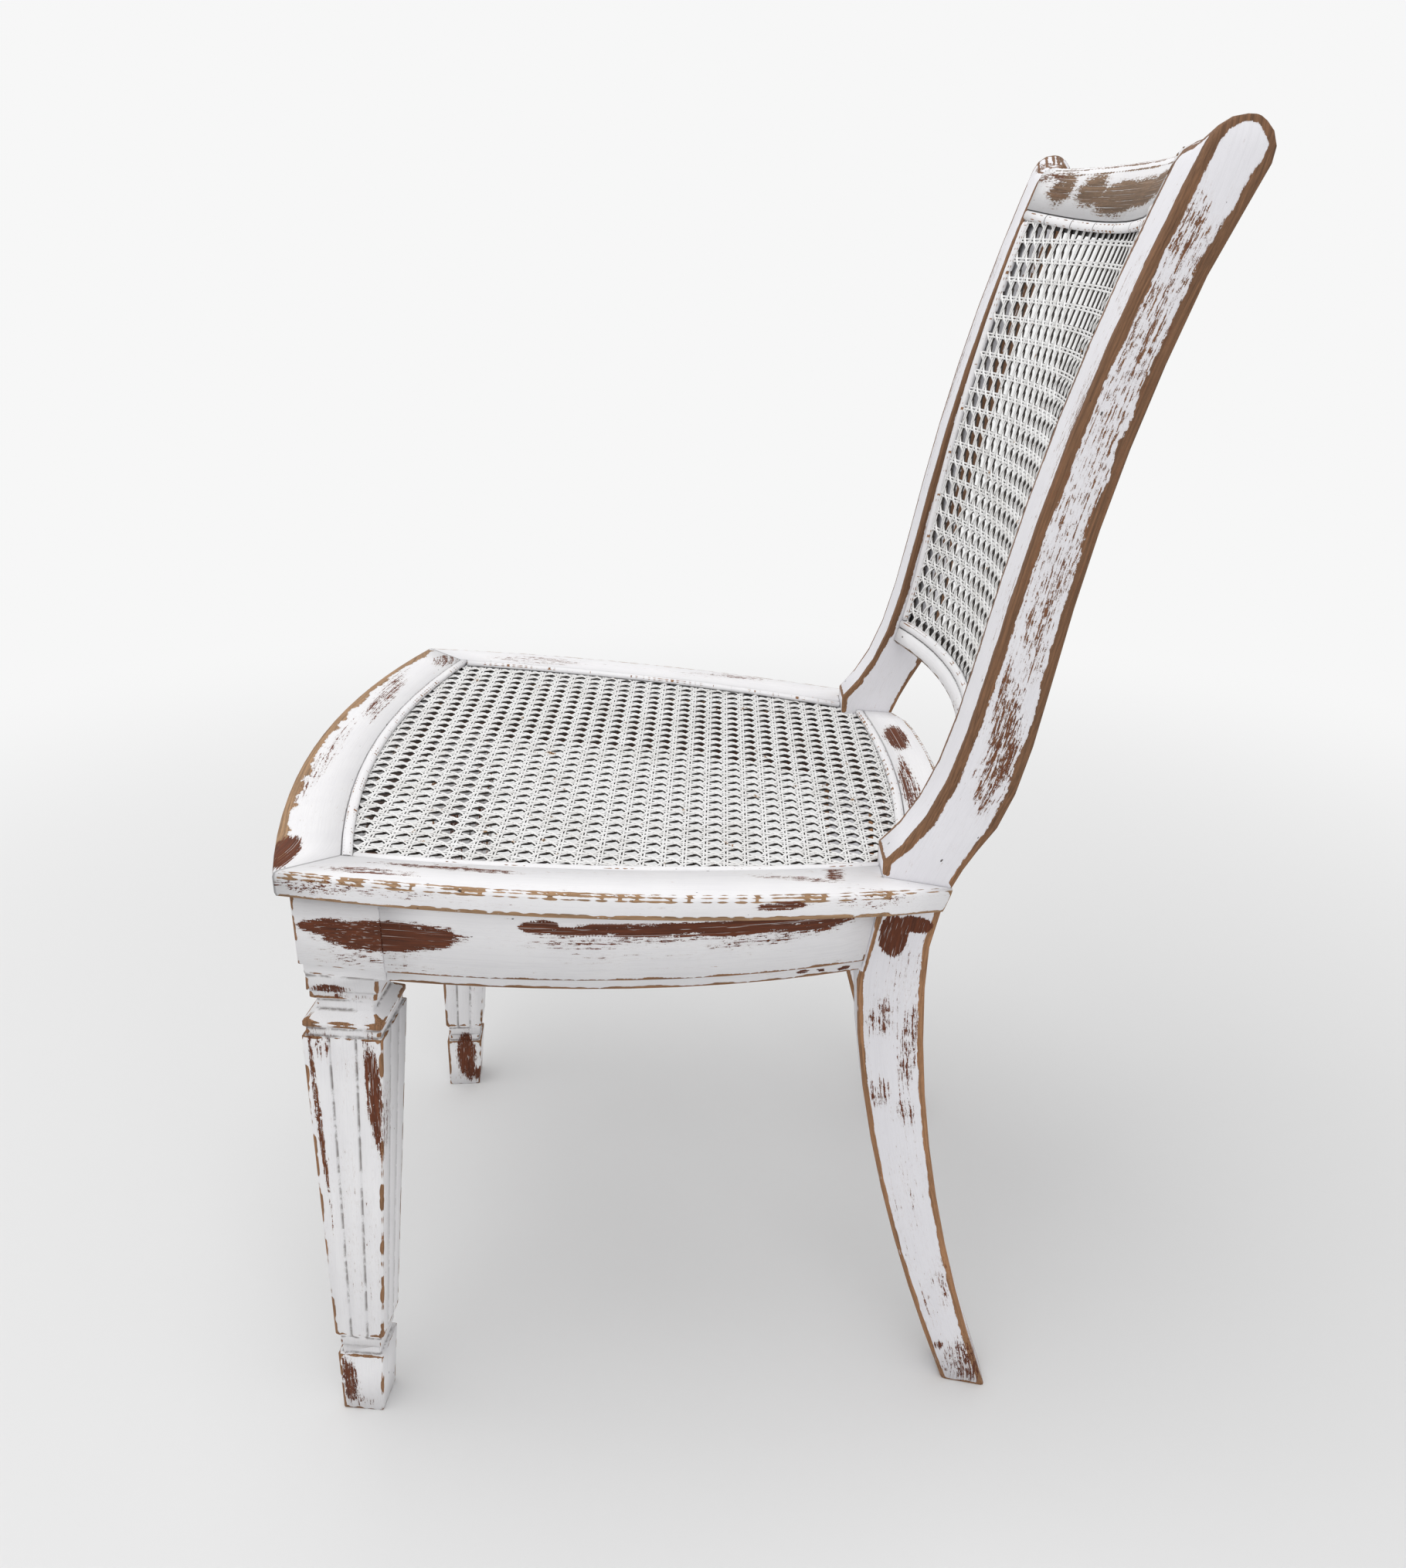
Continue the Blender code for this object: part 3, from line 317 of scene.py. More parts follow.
def make_sanded_paint():
    """Shader group: chalk paint rubbed through to stain and wood along the grain."""
    tree = bpy.data.node_groups.new("sanded chalk paint", "ShaderNodeTree")
    face = tree.interface
    for label, kind, value in (
        ("Paint", "NodeSocketColor", (0.845, 0.836, 0.846, 1)),
        ("Wood", "NodeSocketColor", (0.30, 0.155, 0.076, 1)),
        ("Stain", "NodeSocketColor", (0.122, 0.031, 0.010, 1)),
        ("Broken", "NodeSocketFloat", 0.5),
        ("Streaks", "NodeSocketFloat", 1.0),
        ("Specks", "NodeSocketFloat", 0.5),
        ("Joint grime", "NodeSocketFloat", 0.0),
        ("Kerfs", "NodeSocketFloat", 0.0),
    ):
        socket = face.new_socket(name=label, in_out="INPUT", socket_type=kind)
        socket.default_value = value
    for label, kind in (("Color", "NodeSocketColor"), ("Roughness", "NodeSocketFloat"),
                        ("Height", "NodeSocketFloat")):
        face.new_socket(name=label, in_out="OUTPUT", socket_type=kind)
    given = tree.nodes.new("NodeGroupInput").outputs
    result = tree.nodes.new("NodeGroupOutput")

    def layer(name, output="Fac"):
        """Attribute of the fine mesh."""
        return add(tree, "ShaderNodeAttribute", attribute_name=name).outputs[output]

    def total(*values):
        """Sum of values."""
        result = values[0]
        for value in values[1:]:
            result = maths(tree, "ADD", result, value)
        return result

    board = layer("board", "Vector")
    place = object_place(tree)
    rub = layer("rub")
    streak = noise(tree, stretched(tree, board, 20, 850), 1.0, 4.0, 0.65)
    drag = noise(tree, stretched(tree, board, 9, 230), 1.0, 3.0, 0.5)
    dash = noise(tree, stretched(tree, board, 210, 1150), 1.0, 3.0, 0.6)
    fine = noise(tree, place, 1500, 2.0, 0.6)
    medium = noise(tree, place, 190, 4.0, 0.65)
    large = noise(tree, place, 48, 2.0, 0.5)

    # Arrises: a band of even width with a finely torn border, broken in places.
    reach = maths(tree, "MULTIPLY", layer("band"), ramp(tree, large, 0.3, 0.7, 0.72, 1.2, "LINEAR"))
    edge = maths(tree, "SUBTRACT", 1.0, maths(tree, "DIVIDE", layer("edge"), reach))
    skip = maths(tree, "MULTIPLY", ramp(tree, large, 0.42, 0.60, 1.1, 0.0), given["Broken"])
    wide = ramp(tree, layer("band"), 0.0012, 0.0032)
    line = swing(tree, maths(tree, "MULTIPLY_ADD", streak, 0.5, maths(tree, "MULTIPLY", drag, 0.5)), 2.4)
    torn = total(swing(tree, medium, 1.0), swing(tree, dash, 0.8), swing(tree, drag, 0.5))
    edge = total(maths(tree, "MULTIPLY", edge, 1.5), maths(tree, "MULTIPLY", skip, -1.0),
                 add(tree, "ShaderNodeMix", {0: wide, 2: line, 3: torn}).outputs[0])
    edge_worn = ramp(tree, edge, 0.20, 0.30)

    # Patches and dry-brushed stretches: the brush skips along the grain.
    field = total(rub, swing(tree, dash, 1.15), swing(tree, fine, 0.45),
                  swing(tree, medium, 0.65), swing(tree, drag, 0.7),
                  maths(tree, "MULTIPLY", swing(tree, streak, 1.25), given["Streaks"]))
    patch_worn = ramp(tree, field, 0.50, 0.57)
    left = ramp(tree, noise(tree, stretched(tree, board, 5, 1700), 1.0, 2.0), 0.62, 0.70, 0.0, 0.8)
    patch_worn = maths(tree, "MULTIPLY", patch_worn, maths(tree, "SUBTRACT", 1.0, left))
    worn = maths(tree, "MAXIMUM", edge_worn, patch_worn)

    stained = total(layer("stain"), swing(tree, medium, 0.5), swing(tree, drag, 0.7))
    stained = maths(tree, "MULTIPLY", ramp(tree, stained, 0.15, 0.75), patch_worn)
    wood = blend(tree, stained, given["Wood"], given["Stain"])
    grain = ramp(tree, streak, 0.28, 0.72, 0.45, 1.30, "LINEAR")
    grain = maths(tree, "MULTIPLY", grain, ramp(tree, dash, 0.3, 0.7, 0.85, 1.12, "LINEAR"))
    wood = blend(tree, 1.0, wood, grey(tree, grain), "MULTIPLY")

    near_wear = maths(tree, "MAXIMUM", edge, maths(tree, "SUBTRACT", field, 0.30))
    thin = ramp(tree, near_wear, -0.12, 0.20, 0.0, 0.22)
    paint = blend(tree, thin, given["Paint"], (0.50, 0.42, 0.38, 1))
    brushed = ramp(tree, streak, 0.28, 0.56, 0.12, 0.0)
    paint = blend(tree, brushed, paint, (0.47, 0.46, 0.48, 1))
    cloud = ramp(tree, noise(tree, place, 26, 3.0), 0.35, 0.65, 0.0, 0.10)
    paint = blend(tree, cloud, paint, (0.62, 0.61, 0.66, 1))
    # Darker in the inner corners, in patches.
    grime = ramp(tree, layer("cavity"), 0.0, 0.0022, 0.75, 0.0)
    grime = maths(tree, "MULTIPLY", grime, ramp(tree, total(medium, swing(tree, large, 1.2)), 0.34, 0.58))
    paint = blend(tree, grime, paint, (0.10, 0.07, 0.055, 1))
    colour = blend(tree, worn, paint, wood)
    joint = maths(tree, "MULTIPLY", ramp(tree, layer("gap"), 0.0004, 0.0013, 1.0, 0.0),
                  given["Joint grime"])
    colour = blend(tree, joint, colour, (0.018, 0.013, 0.011, 1))

    dots = add(tree, "ShaderNodeTexVoronoi", {"Vector": stretched(tree, board, 150, 260),
                                              "Scale": 1.0, "Randomness": 1.0})
    chosen = add(tree, "ShaderNodeSeparateColor", {0: dots.outputs["Color"]}).outputs[0]
    rate = maths(tree, "MULTIPLY_ADD", given["Specks"], -0.05, 1.0)
    size = ramp(tree, chosen, rate, 1.0, 0.0, 0.22, "LINEAR")
    dot = maths(tree, "SUBTRACT", size, dots.outputs["Distance"])
    dot = ramp(tree, maths(tree, "ADD", swing(tree, fine, 0.2), dot), 0.0, 0.04)
    colour = blend(tree, maths(tree, "MULTIPLY", dot, 0.9), colour, (0.040, 0.024, 0.018, 1))

    raw = ramp(tree, streak, 0.3, 0.75, 0.55, 1.5, "LINEAR")
    raw_wood = blend(tree, 1.0, (0.070, 0.026, 0.012, 1), grey(tree, raw), "MULTIPLY")
    colour = blend(tree, layer("bare"), colour, raw_wood)

    # Saw kerfs across a reed that let it bend, one each 47 mm.
    along = add(tree, "ShaderNodeSeparateXYZ", {0: board}).outputs[0]
    cell = maths(tree, "DIVIDE", maths(tree, "ADD", along, KERF_START), KERF_STEP)
    away = maths(tree, "ABSOLUTE", maths(tree, "SUBTRACT", maths(tree, "FRACT", cell), 0.5))
    kerf = ramp(tree, away, 0.008, 0.022, 1.0, 0.0)
    kerf = maths(tree, "MULTIPLY", kerf, given["Kerfs"])
    colour = blend(tree, maths(tree, "MULTIPLY", kerf, 0.75), colour, (0.05, 0.04, 0.035, 1))

    rough = maths(tree, "MULTIPLY_ADD", worn, 0.10, 0.56)
    height = total(maths(tree, "MULTIPLY", worn, -0.6), maths(tree, "MULTIPLY", streak, 0.5),
                   maths(tree, "MULTIPLY", medium, 0.15), maths(tree, "MULTIPLY", dot, -0.5),
                   maths(tree, "MULTIPLY", kerf, -1.5))
    tree.links.new(colour, result.inputs["Color"])
    tree.links.new(rough, result.inputs["Roughness"])
    tree.links.new(height, result.inputs["Height"])
    return tree


sanded_paint = make_sanded_paint()


def painted_wood(name, **values):
    """White paint over stained beech, worn as much as the piece shows."""
    material, tree, shader = new_material(name)
    group = add(tree, "ShaderNodeGroup", node_tree=sanded_paint)
    for key, value in values.items():
        group.inputs[key.replace("_", " ").capitalize()].default_value = value
    bump = add(tree, "ShaderNodeBump", {"Strength": 0.55, "Distance": 0.0004,
                                        "Height": group.outputs["Height"]})
    tree.links.new(group.outputs["Color"], shader.inputs["Base Color"])
    tree.links.new(group.outputs["Roughness"], shader.inputs["Roughness"])
    tree.links.new(bump.outputs[0], shader.inputs["Normal"])
    shader.inputs["Specular IOR Level"].default_value = 0.3
    return material


leg_paint = painted_wood("painted turned leg", broken=0.9, streaks=0.9, specks=0.7)
left_leg = [((0.2335, -0.200, 0.4125), (0.030, 0.046, 0.0115), 1.0, 0.45, 1.0),
            ((0.2335, -0.238, 0.4175), (0.030, 0.021, 0.0060), 0.95, 0.5, 1.0),
            ((0.2335, -0.215, 0.3975), (0.030, 0.042, 0.0090), 0.34, 0.8, 0.9),
            ((0.229, -0.243, 0.3690), (0.030, 0.014, 0.0035), 0.75, 0.5, 0.9),
            ((0.229, -0.233, 0.3630), (0.030, 0.022, 0.0020), 0.40, 0.6, 0.8),
            ((0.229, -0.2200, 0.290), (0.030, 0.0062, 0.048), 0.78, 0.7, 0.7),
            ((0.229, -0.2520, 0.330), (0.030, 0.0080, 0.016), 0.44, 0.8, 0.8),
            ((0.229, -0.2600, 0.270), (0.030, 0.0022, 0.080), 0.70, 0.6, 0.6),
            ((0.229, -0.229, 0.315), (0.012, 0.020, 0.012), 0.24, 0.9, 0.8),
            ((0.229, -0.246, 0.180), (0.012, 0.010, 0.110), 0.20, 0.9, 0.6),
            ((0.229, -0.234, 0.150), (0.012, 0.014, 0.060), 0.17, 0.9, 0.6),
            ((0.227, -0.2625, 0.028), (0.012, 0.0062, 0.026), 0.75, 0.6, 0.75),
            ((0.227, -0.254, 0.008), (0.012, 0.012, 0.006), 0.40, 0.8, 0.75)]
right_leg = [((-0.205, -0.205, 0.362), (0.030, 0.014, 0.016), 0.85, 0.7, 0.8),
             ((-0.200, -0.240, 0.300), (0.030, 0.007, 0.060), 0.80, 0.7, 0.7),
             ((-0.200, -0.216, 0.310), (0.030, 0.006, 0.045), 0.70, 0.7, 0.8),
             ((-0.195, -0.235, 0.190), (0.030, 0.030, 0.070), 0.30, 0.9, 0.6),
             ((-0.195, -0.248, 0.035), (0.030, 0.010, 0.030), 0.90, 0.6, 0.8),
             ((-0.195, -0.225, 0.012), (0.030, 0.030, 0.010), 0.70, 0.7, 0.7),
             ((-0.2335, -0.150, 0.414), (0.012, 0.030, 0.010), 0.6, 0.6, 0.9)]
for word, patches in (("left", left_leg), ("right", right_leg)):
    dressed("front_leg_" + word, 2, leg_paint, patches, band=0.0017, keep_off=0.0022,
            level=STUMP_LOW, cut=LEG_CUT)


# Each rear post is one sabre-sawn plank, leg and back stile in one. Hands and
# sandpaper have taken the paint off its arrises in a wide ragged band.
post_paint = painted_wood("painted post", paint=(0.815, 0.805, 0.835, 1), broken=0.0, streaks=1.15,
                          specks=0.6)
tree = post_paint.node_tree
height = add(tree, "ShaderNodeSeparateXYZ", {0: object_place(tree)})
toned = blend(tree, ramp(tree, height.outputs[2], 0.38, 0.50), (0.36, 0.185, 0.090, 1),
              (0.205, 0.104, 0.053, 1))
tree.links.new(toned, tree.nodes["Group"].inputs["Wood"])


BAND_ROW = 0.01
EAR_LOW = 0.862


def post_band(points):
    """Hands and sandpaper took most from the stile, little from the leg."""
    rows = np.round(points[:, 2] / BAND_ROW).astype(int)
    least = np.full(rows.max() + 1, np.inf)
    most = np.full(rows.max() + 1, -np.inf)
    np.minimum.at(least, rows, points[:, 1])
    np.maximum.at(most, rows, points[:, 1])
    before = points[:, 1] < ((least + most) / 2)[rows]
    heights = (0.0, 0.43, 0.475, 0.80, 0.86)
    front = np.interp(points[:, 2], heights, (0.0018, 0.0018, 0.0038, 0.0040, 0.0036))
    rear = np.interp(points[:, 2], heights, (0.0026, 0.0026, 0.0046, 0.0068, 0.0042))
    far_ear = (points[:, 0] < 0) & (points[:, 2] > EAR_LOW)
    return np.where(before, front, rear) * np.where(far_ear, 0.4, 1.0)


for side, word in ((1, "left"), (-1, "right")):
    patches = [
        ((side * 0.187, 0.140, 0.4025), (0.030, 0.012, 0.0065), 1.0, 0.35, 1.0),
        ((side * 0.187, 0.1265, 0.392), (0.030, 0.0095, 0.0165), 1.0, 0.35, 1.0),
        ((side * 0.186, 0.122, 0.325), (0.030, 0.010, 0.018), 0.50, 0.8, 0.7),
        ((side * 0.186, 0.143, 0.305), (0.030, 0.007, 0.040), 0.52, 0.7, 0.9),
        ((side * 0.185, 0.126, 0.262), (0.030, 0.008, 0.014), 0.52, 0.8, 0.7),
        ((side * 0.185, 0.143, 0.250), (0.030, 0.010, 0.012), 0.42, 0.9, 0.9),
        ((side * 0.186, 0.138, 0.345), (0.030, 0.018, 0.045), 0.26, 0.9, 0.9),
        ((side * 0.187, 0.150, 0.130), (0.030, 0.016, 0.110), 0.20, 0.9, 0.6),
        ((side * 0.187, 0.178, 0.085), (0.030, 0.012, 0.035), 0.34, 0.9, 0.6),
        ((side * 0.190, 0.205, 0.022), (0.030, 0.016, 0.026), 0.52, 0.8, 0.7),
        ((side * 0.188, 0.184, 0.034), (0.030, 0.004, 0.005), 0.70, 0.7, 0.7),
        ((side * 0.199, 0.176, 0.505), (0.030, 0.008, 0.022), 0.52, 0.8, 0.45),
        ((side * 0.199, 0.184, 0.545), (0.030, 0.011, 0.048), 0.58, 0.8, 0.45),
        ((side * 0.204, 0.202, 0.620), (0.030, 0.018, 0.060), 0.40, 0.8, 0.32),
        ((side * 0.208, 0.215, 0.700), (0.030, 0.028, 0.090), 0.40, 0.8, 0.28),
        ((side * 0.210, 0.236, 0.775), (0.030, 0.020, 0.045), 0.42, 0.8, 0.28),
        ((side * 0.212, 0.252, 0.818), (0.030, 0.012, 0.032), 0.44, 0.8, 0.28),
        ((side * 0.205, 0.195, 0.640), (0.030, 0.040, 0.130), 0.25, 0.8, 0.28),
        ((side * 0.1975, 0.2600, 0.8735), (0.010, 0.012, 0.0050), 0.6, 0.5, 0.3),
    ]
    dressed("rear_post_" + word, 2, post_paint, patches, band=post_band)


# The aprons are bowed rails under the seat, tenoned into the legs, each with a
# fillet sunk along its lower edge. Only their outer faces were painted.
apron_paint = painted_wood("painted apron", broken=0.45, streaks=1.0, specks=0.9)


def inner_face(place, normal):
    """Faces that look into the chair or down, which no brush reached."""
    inward = Vector((-place[0], -place[1] - 0.02, 0)).normalized()
    return 1.0 if normal @ np.array(inward) > 0.55 else 0.0


near_apron = left_leg[:3] + [
    ((0.230, -0.104, 0.4205), (0.100, 0.013, 0.0048), 1.0, 0.4, 1.0),
    ((0.230, -0.070, 0.4170), (0.100, 0.036, 0.0038), 0.90, 0.5, 1.0),
    ((0.230, -0.020, 0.4142), (0.100, 0.040, 0.0042), 0.95, 0.5, 1.0),
    ((0.220, 0.030, 0.4110), (0.100, 0.036, 0.0058), 1.0, 0.45, 1.0),
    ((0.200, 0.074, 0.4055), (0.100, 0.027, 0.0046), 0.85, 0.6, 1.0),
    ((0.220, -0.040, 0.4075), (0.100, 0.075, 0.0055), 0.45, 0.8, 0.9),
    ((0.210, 0.045, 0.4000), (0.100, 0.050, 0.0060), 0.45, 0.8, 0.9),
    ((0.220, -0.020, 0.3970), (0.100, 0.080, 0.0060), 0.18, 0.8, 0.8),
    ((0.197, 0.0663, 0.3693), (0.100, 0.0042, 0.0012), 1.0, 0.4, 1.0),
    ((0.192, 0.0785, 0.3680), (0.100, 0.0030, 0.0011), 1.0, 0.4, 1.0),
    ((0.186, 0.0950, 0.3667), (0.100, 0.0050, 0.0014), 1.0, 0.4, 1.0)]
dressed("apron_left", 1, apron_paint, near_apron, inner_face, band=0.0020)
far_apron = [((-0.2335, 0.020, 0.420), (0.012, 0.070, 0.006), 0.8, 0.6, 1.0),
             ((-0.2335, -0.150, 0.410), (0.012, 0.030, 0.010), 0.7, 0.6, 1.0),
             ((-0.2335, 0.020, 0.408), (0.012, 0.080, 0.007), 0.3, 0.8, 1.0)]
dressed("apron_right", 1, apron_paint, far_apron, inner_face, band=0.0020)
dressed("apron_front", 0, apron_paint, [((0.08, -0.29, 0.42), (0.07, 0.03, 0.007), 0.7, 0.6, 1.0),
                                        ((0.05, -0.29, 0.408), (0.09, 0.03, 0.007), 0.3, 0.8, 1.0)],
        inner_face, band=0.0022)
dressed("apron_rear", 0, apron_paint, [((-0.05, 0.168, 0.40), (0.06, 0.03, 0.008), 0.6, 0.7, 0.9)],
        inner_face, band=0.0022)


# Corner blocks are glued and screwed behind the legs. Nobody paints them: they
# keep the dark stain that the whole chair once had.
def stained_wood():
    """Dark stain on beech, seen only from below."""
    material, tree, shader = new_material("stained block")
    place = object_place(tree)
    drawn = add(tree, "ShaderNodeMapping", {"Vector": place, "Scale": (40, 40, 500)}).outputs[0]
    grain = noise(tree, drawn, 1.0, 4.0)
    colour = blend(tree, grain, (0.035, 0.013, 0.007, 1), (0.12, 0.048, 0.022, 1))
    tree.links.new(colour, shader.inputs["Base Color"])
    tree.links.new(ramp(tree, grain, 0.3, 0.7, 0.5, 0.7), shader.inputs["Roughness"])
    bump = add(tree, "ShaderNodeBump", {"Strength": 0.4, "Distance": 0.0003, "Height": grain})
    tree.links.new(bump.outputs[0], shader.inputs["Normal"])
    return material


def dull_steel():
    """Screw heads gone grey, with a little rust."""
    material, tree, shader = new_material("dull screw steel")
    place = object_place(tree)
    rust = ramp(tree, noise(tree, place, 420, 4.0), 0.45, 0.62)
    colour = blend(tree, rust, (0.42, 0.40, 0.38, 1), (0.16, 0.06, 0.025, 1))
    tree.links.new(colour, shader.inputs["Base Color"])
    tree.links.new(ramp(tree, rust, 0, 1, 0.38, 0.85), shader.inputs["Roughness"])
    tree.links.new(ramp(tree, rust, 0, 1, 1.0, 0.1), shader.inputs["Metallic"])
    return material


block_stain = stained_wood()
screw_steel = dull_steel()
for name, node in nodes.items():
    if name.startswith("corner_block"):
        node.data.materials[0] = block_stain
    if name.startswith("block_screw"):
        node.data.materials[0] = screw_steel


# The seat's frame is four flat rails with mitred front corners. Its top takes
# the most paint and keeps it, apart from its edges and the sitter's corners.
RIM_MIDDLE = 0.4455
RIM_FALL = 0.0638
RIM_TOE = 0.2665
rim_paint = painted_wood("painted seat frame", wood=(0.38, 0.23, 0.125, 1), broken=0.45,
                         streaks=1.1, specks=0.9, joint_grime=0.45)


def underside(place, normal):
    """Faces that look down and are never painted."""
    return 1.0 if normal[2] < -0.85 else 0.0


def rim_band(points):
    """The front's outer arris is sanded widest, the upper side arrises least."""
    low = points[:, 2] < RIM_MIDDLE - RIM_FALL * (points[:, 1] + RIM_TOE)
    outer = (points[:, 1] < -0.236) & (np.abs(points[:, 0]) < 0.232)
    return np.where(low, 0.0034, np.where(outer, 0.0070, 0.0011))


rim_corner = [((0.212, -0.268, 0.460), (0.024, 0.0095, 0.020), 1.0, 0.5, 1.0),
              ((0.06, -0.284, 0.461), (0.09, 0.007, 0.010), 0.35, 0.7, 0.9),
              ((-0.10, -0.274, 0.460), (0.07, 0.010, 0.010), 0.48, 0.6, 0.9),
              ((-0.205, -0.245, 0.459), (0.02, 0.012, 0.012), 0.5, 0.6, 0.9),
              ((0.02, -0.245, 0.459), (0.12, 0.010, 0.010), 0.16, 0.8, 0.8)]
dressed("seat_rail_front", 0, rim_paint, rim_corner, underside, band=rim_band)
near_rim = [((0.243, -0.240, 0.4510), (0.006, 0.032, 0.0055), 0.48, 0.8, 0.9),
            ((0.243, -0.190, 0.4480), (0.006, 0.040, 0.0050), 0.28, 0.8, 0.9),
            ((0.243, -0.100, 0.4450), (0.010, 0.060, 0.0050), 0.18, 0.8, 0.8),
            ((0.225, 0.050, 0.4335), (0.010, 0.020, 0.0032), 0.80, 0.6, 1.0),
            ((0.212, 0.105, 0.4310), (0.012, 0.035, 0.0060), 0.34, 0.8, 0.8),
            ((0.218, -0.160, 0.4535), (0.0038, 0.066, 0.0060), 0.56, 0.7, 0.9),
            ((0.230, -0.212, 0.4560), (0.0050, 0.036, 0.0060), 0.52, 0.7, 0.9),
            ((0.238, -0.050, 0.4470), (0.0030, 0.110, 0.0030), 0.28, 0.7, 0.7),
            ((0.198, 0.055, 0.4390), (0.0040, 0.035, 0.0060), 0.52, 0.7, 0.9),
            ((0.188, 0.085, 0.4370), (0.0100, 0.007, 0.0060), 0.62, 0.8, 0.9)]
dressed("seat_rail_left", 1, rim_paint, near_rim, underside, band=rim_band)
far_rim = [((-0.22, 0.03, 0.449), (0.012, 0.06, 0.012), 0.45, 0.7, 0.9),
           ((-0.225, -0.16, 0.455), (0.012, 0.05, 0.012), 0.40, 0.7, 0.9)]
dressed("seat_rail_right", 1, rim_paint, far_rim, underside, band=rim_band)
rear_rim = [((-0.085, 0.158, 0.434), (0.030, 0.010, 0.012), 0.85, 0.6, 1.0),
            ((0.030, 0.156, 0.434), (0.070, 0.008, 0.012), 0.60, 0.7, 0.9)]
dressed("seat_rail_rear", 0, rim_paint, rear_rim, underside, band=rim_band)


# The crest rail and the lower rail hold the barrel back between the posts. A
# hand pulling the chair out has worn the crest's face through to the stain.
crest_paint = painted_wood("painted crest", wood=(0.225, 0.140, 0.084, 1), broken=0.4, streaks=0.8,
                           joint_grime=0.85)
crest_patches = [((-0.130, 0.262, 0.857), (0.020, 0.04, 0.0125), 0.85, 0.9, 0.25),
                 ((-0.155, 0.262, 0.864), (0.020, 0.04, 0.0050), 0.60, 0.8, 0.50),
                 ((-0.076, 0.268, 0.854), (0.028, 0.04, 0.0105), 0.90, 0.8, 0.10),
                 ((-0.015, 0.272, 0.848), (0.050, 0.04, 0.0115), 0.95, 0.7, 0.0),
                 ((0.045, 0.272, 0.8505), (0.054, 0.04, 0.0090), 0.95, 0.7, 0.0),
                 ((0.105, 0.268, 0.8545), (0.050, 0.04, 0.0065), 1.0, 0.45, 0.0),
                 ((0.150, 0.262, 0.858), (0.030, 0.04, 0.0055), 0.85, 0.6, 0.1),
                 ((-0.030, 0.280, 0.869), (0.110, 0.01, 0.0012), 0.45, 0.7, 0.5)]
dressed("crest_rail", 0, crest_paint, crest_patches, band=0.0010)
dressed("lower_back_rail", 0, crest_paint, [((0.05, 0.165, 0.503), (0.06, 0.03, 0.006), 0.4, 0.8, 0.6)],
        band=0.0010)


# The cane is pre-woven webbing: doubled strands up and across, and a single
# strand along each diagonal, which leaves eight-sided holes. It is laid wet
# over the rebate, locked by a reed spline and painted with the chair.
CANE_PITCH = (0.0134, 0.0139)
PAIR_HALF = 0.00110
STRAND_WIDE = 0.0020
DIAGONAL_WIDE = 0.0020
STRAND_THICK = 0.0012
WEAVE_LIFT = 0.00058
DIAGONAL_LIFT = 0.00088
TOP_SHARE = 0.80
UPWARD = 0.75
TUCK = 0.0022
SAMPLE = 0.0026
CLIP_STEP = 0.0008
SHORTEST = 0.006
STATION = 0.012


def white_cane():
    """White paint on cane, nicked to the straw-coloured skin.

    The strands are painted darker the lower they lie in the weave and on
    the faces that don't look out of it: their sides, their backs and where
    they dive under others. This painted shade makes the holes look deep.
    rise is a point's height in the weave, and top is 1 on the faces that
    look out of the weave.
    """
    material, tree, shader = new_material("painted cane")
    place = object_place(tree)
    medium = noise(tree, place, 95, 3.0)
    fine = noise(tree, place, 700, 3.0)
    nick = maths(tree, "ADD", medium, maths(tree, "MULTIPLY", fine, 0.35))
    nick = ramp(tree, nick, 0.885, 0.915)
    clump = noise(tree, place, 40, 2.0)
    tint = blend(tree, ramp(tree, clump, 0.4, 0.7), (0.88, 0.875, 0.87, 1), (0.80, 0.79, 0.775, 1))
    straw = blend(tree, fine, (0.42, 0.24, 0.09, 1), (0.20, 0.10, 0.045, 1))
    rise = add(tree, "ShaderNodeAttribute", attribute_name="rise").outputs["Fac"]
    rise = maths(tree, "ADD", rise, swing(tree, fine, 0.0003))
    top = add(tree, "ShaderNodeAttribute", attribute_name="top").outputs["Fac"]
    rise = maths(tree, "ADD", rise, ramp(tree, top, 0.0, 1.0, -0.00055, 0.0, "LINEAR"))
    # Painted shade: near black low in the weave and on faces that don't look out of it.
    colour = blend(tree, ramp(tree, rise, -0.00025, 0.00040), (0.022, 0.014, 0.010, 1),
                   blend(tree, nick, tint, straw))
    tree.links.new(colour, shader.inputs["Base Color"])
    tree.links.new(ramp(tree, nick, 0, 1, 0.5, 0.62), shader.inputs["Roughness"])
    bump = add(tree, "ShaderNodeBump", {"Strength": 0.3, "Distance": 0.0002, "Height": fine})
    tree.links.new(bump.outputs[0], shader.inputs["Normal"])
    return material


cane_paint = white_cane()


def node_points(name):
    """Points of a CAD node."""
    return read(nodes[name].data.vertices, "co")


def spline_edge(name, at, of, sense):
    """Outer edge of a spline as a function: coordinate of over coordinate at."""
    points = node_points(name)
    order = np.round(points[:, at] / STATION)
    stations = []
    for key in np.unique(order):
        group = points[order == key]
        pick = group[np.argmax(sense * group[:, of])]
        stations.append((pick[at], pick[of]))
    stations = np.array(sorted(stations))
    return lambda value: np.interp(value, stations[:, 0], stations[:, 1])


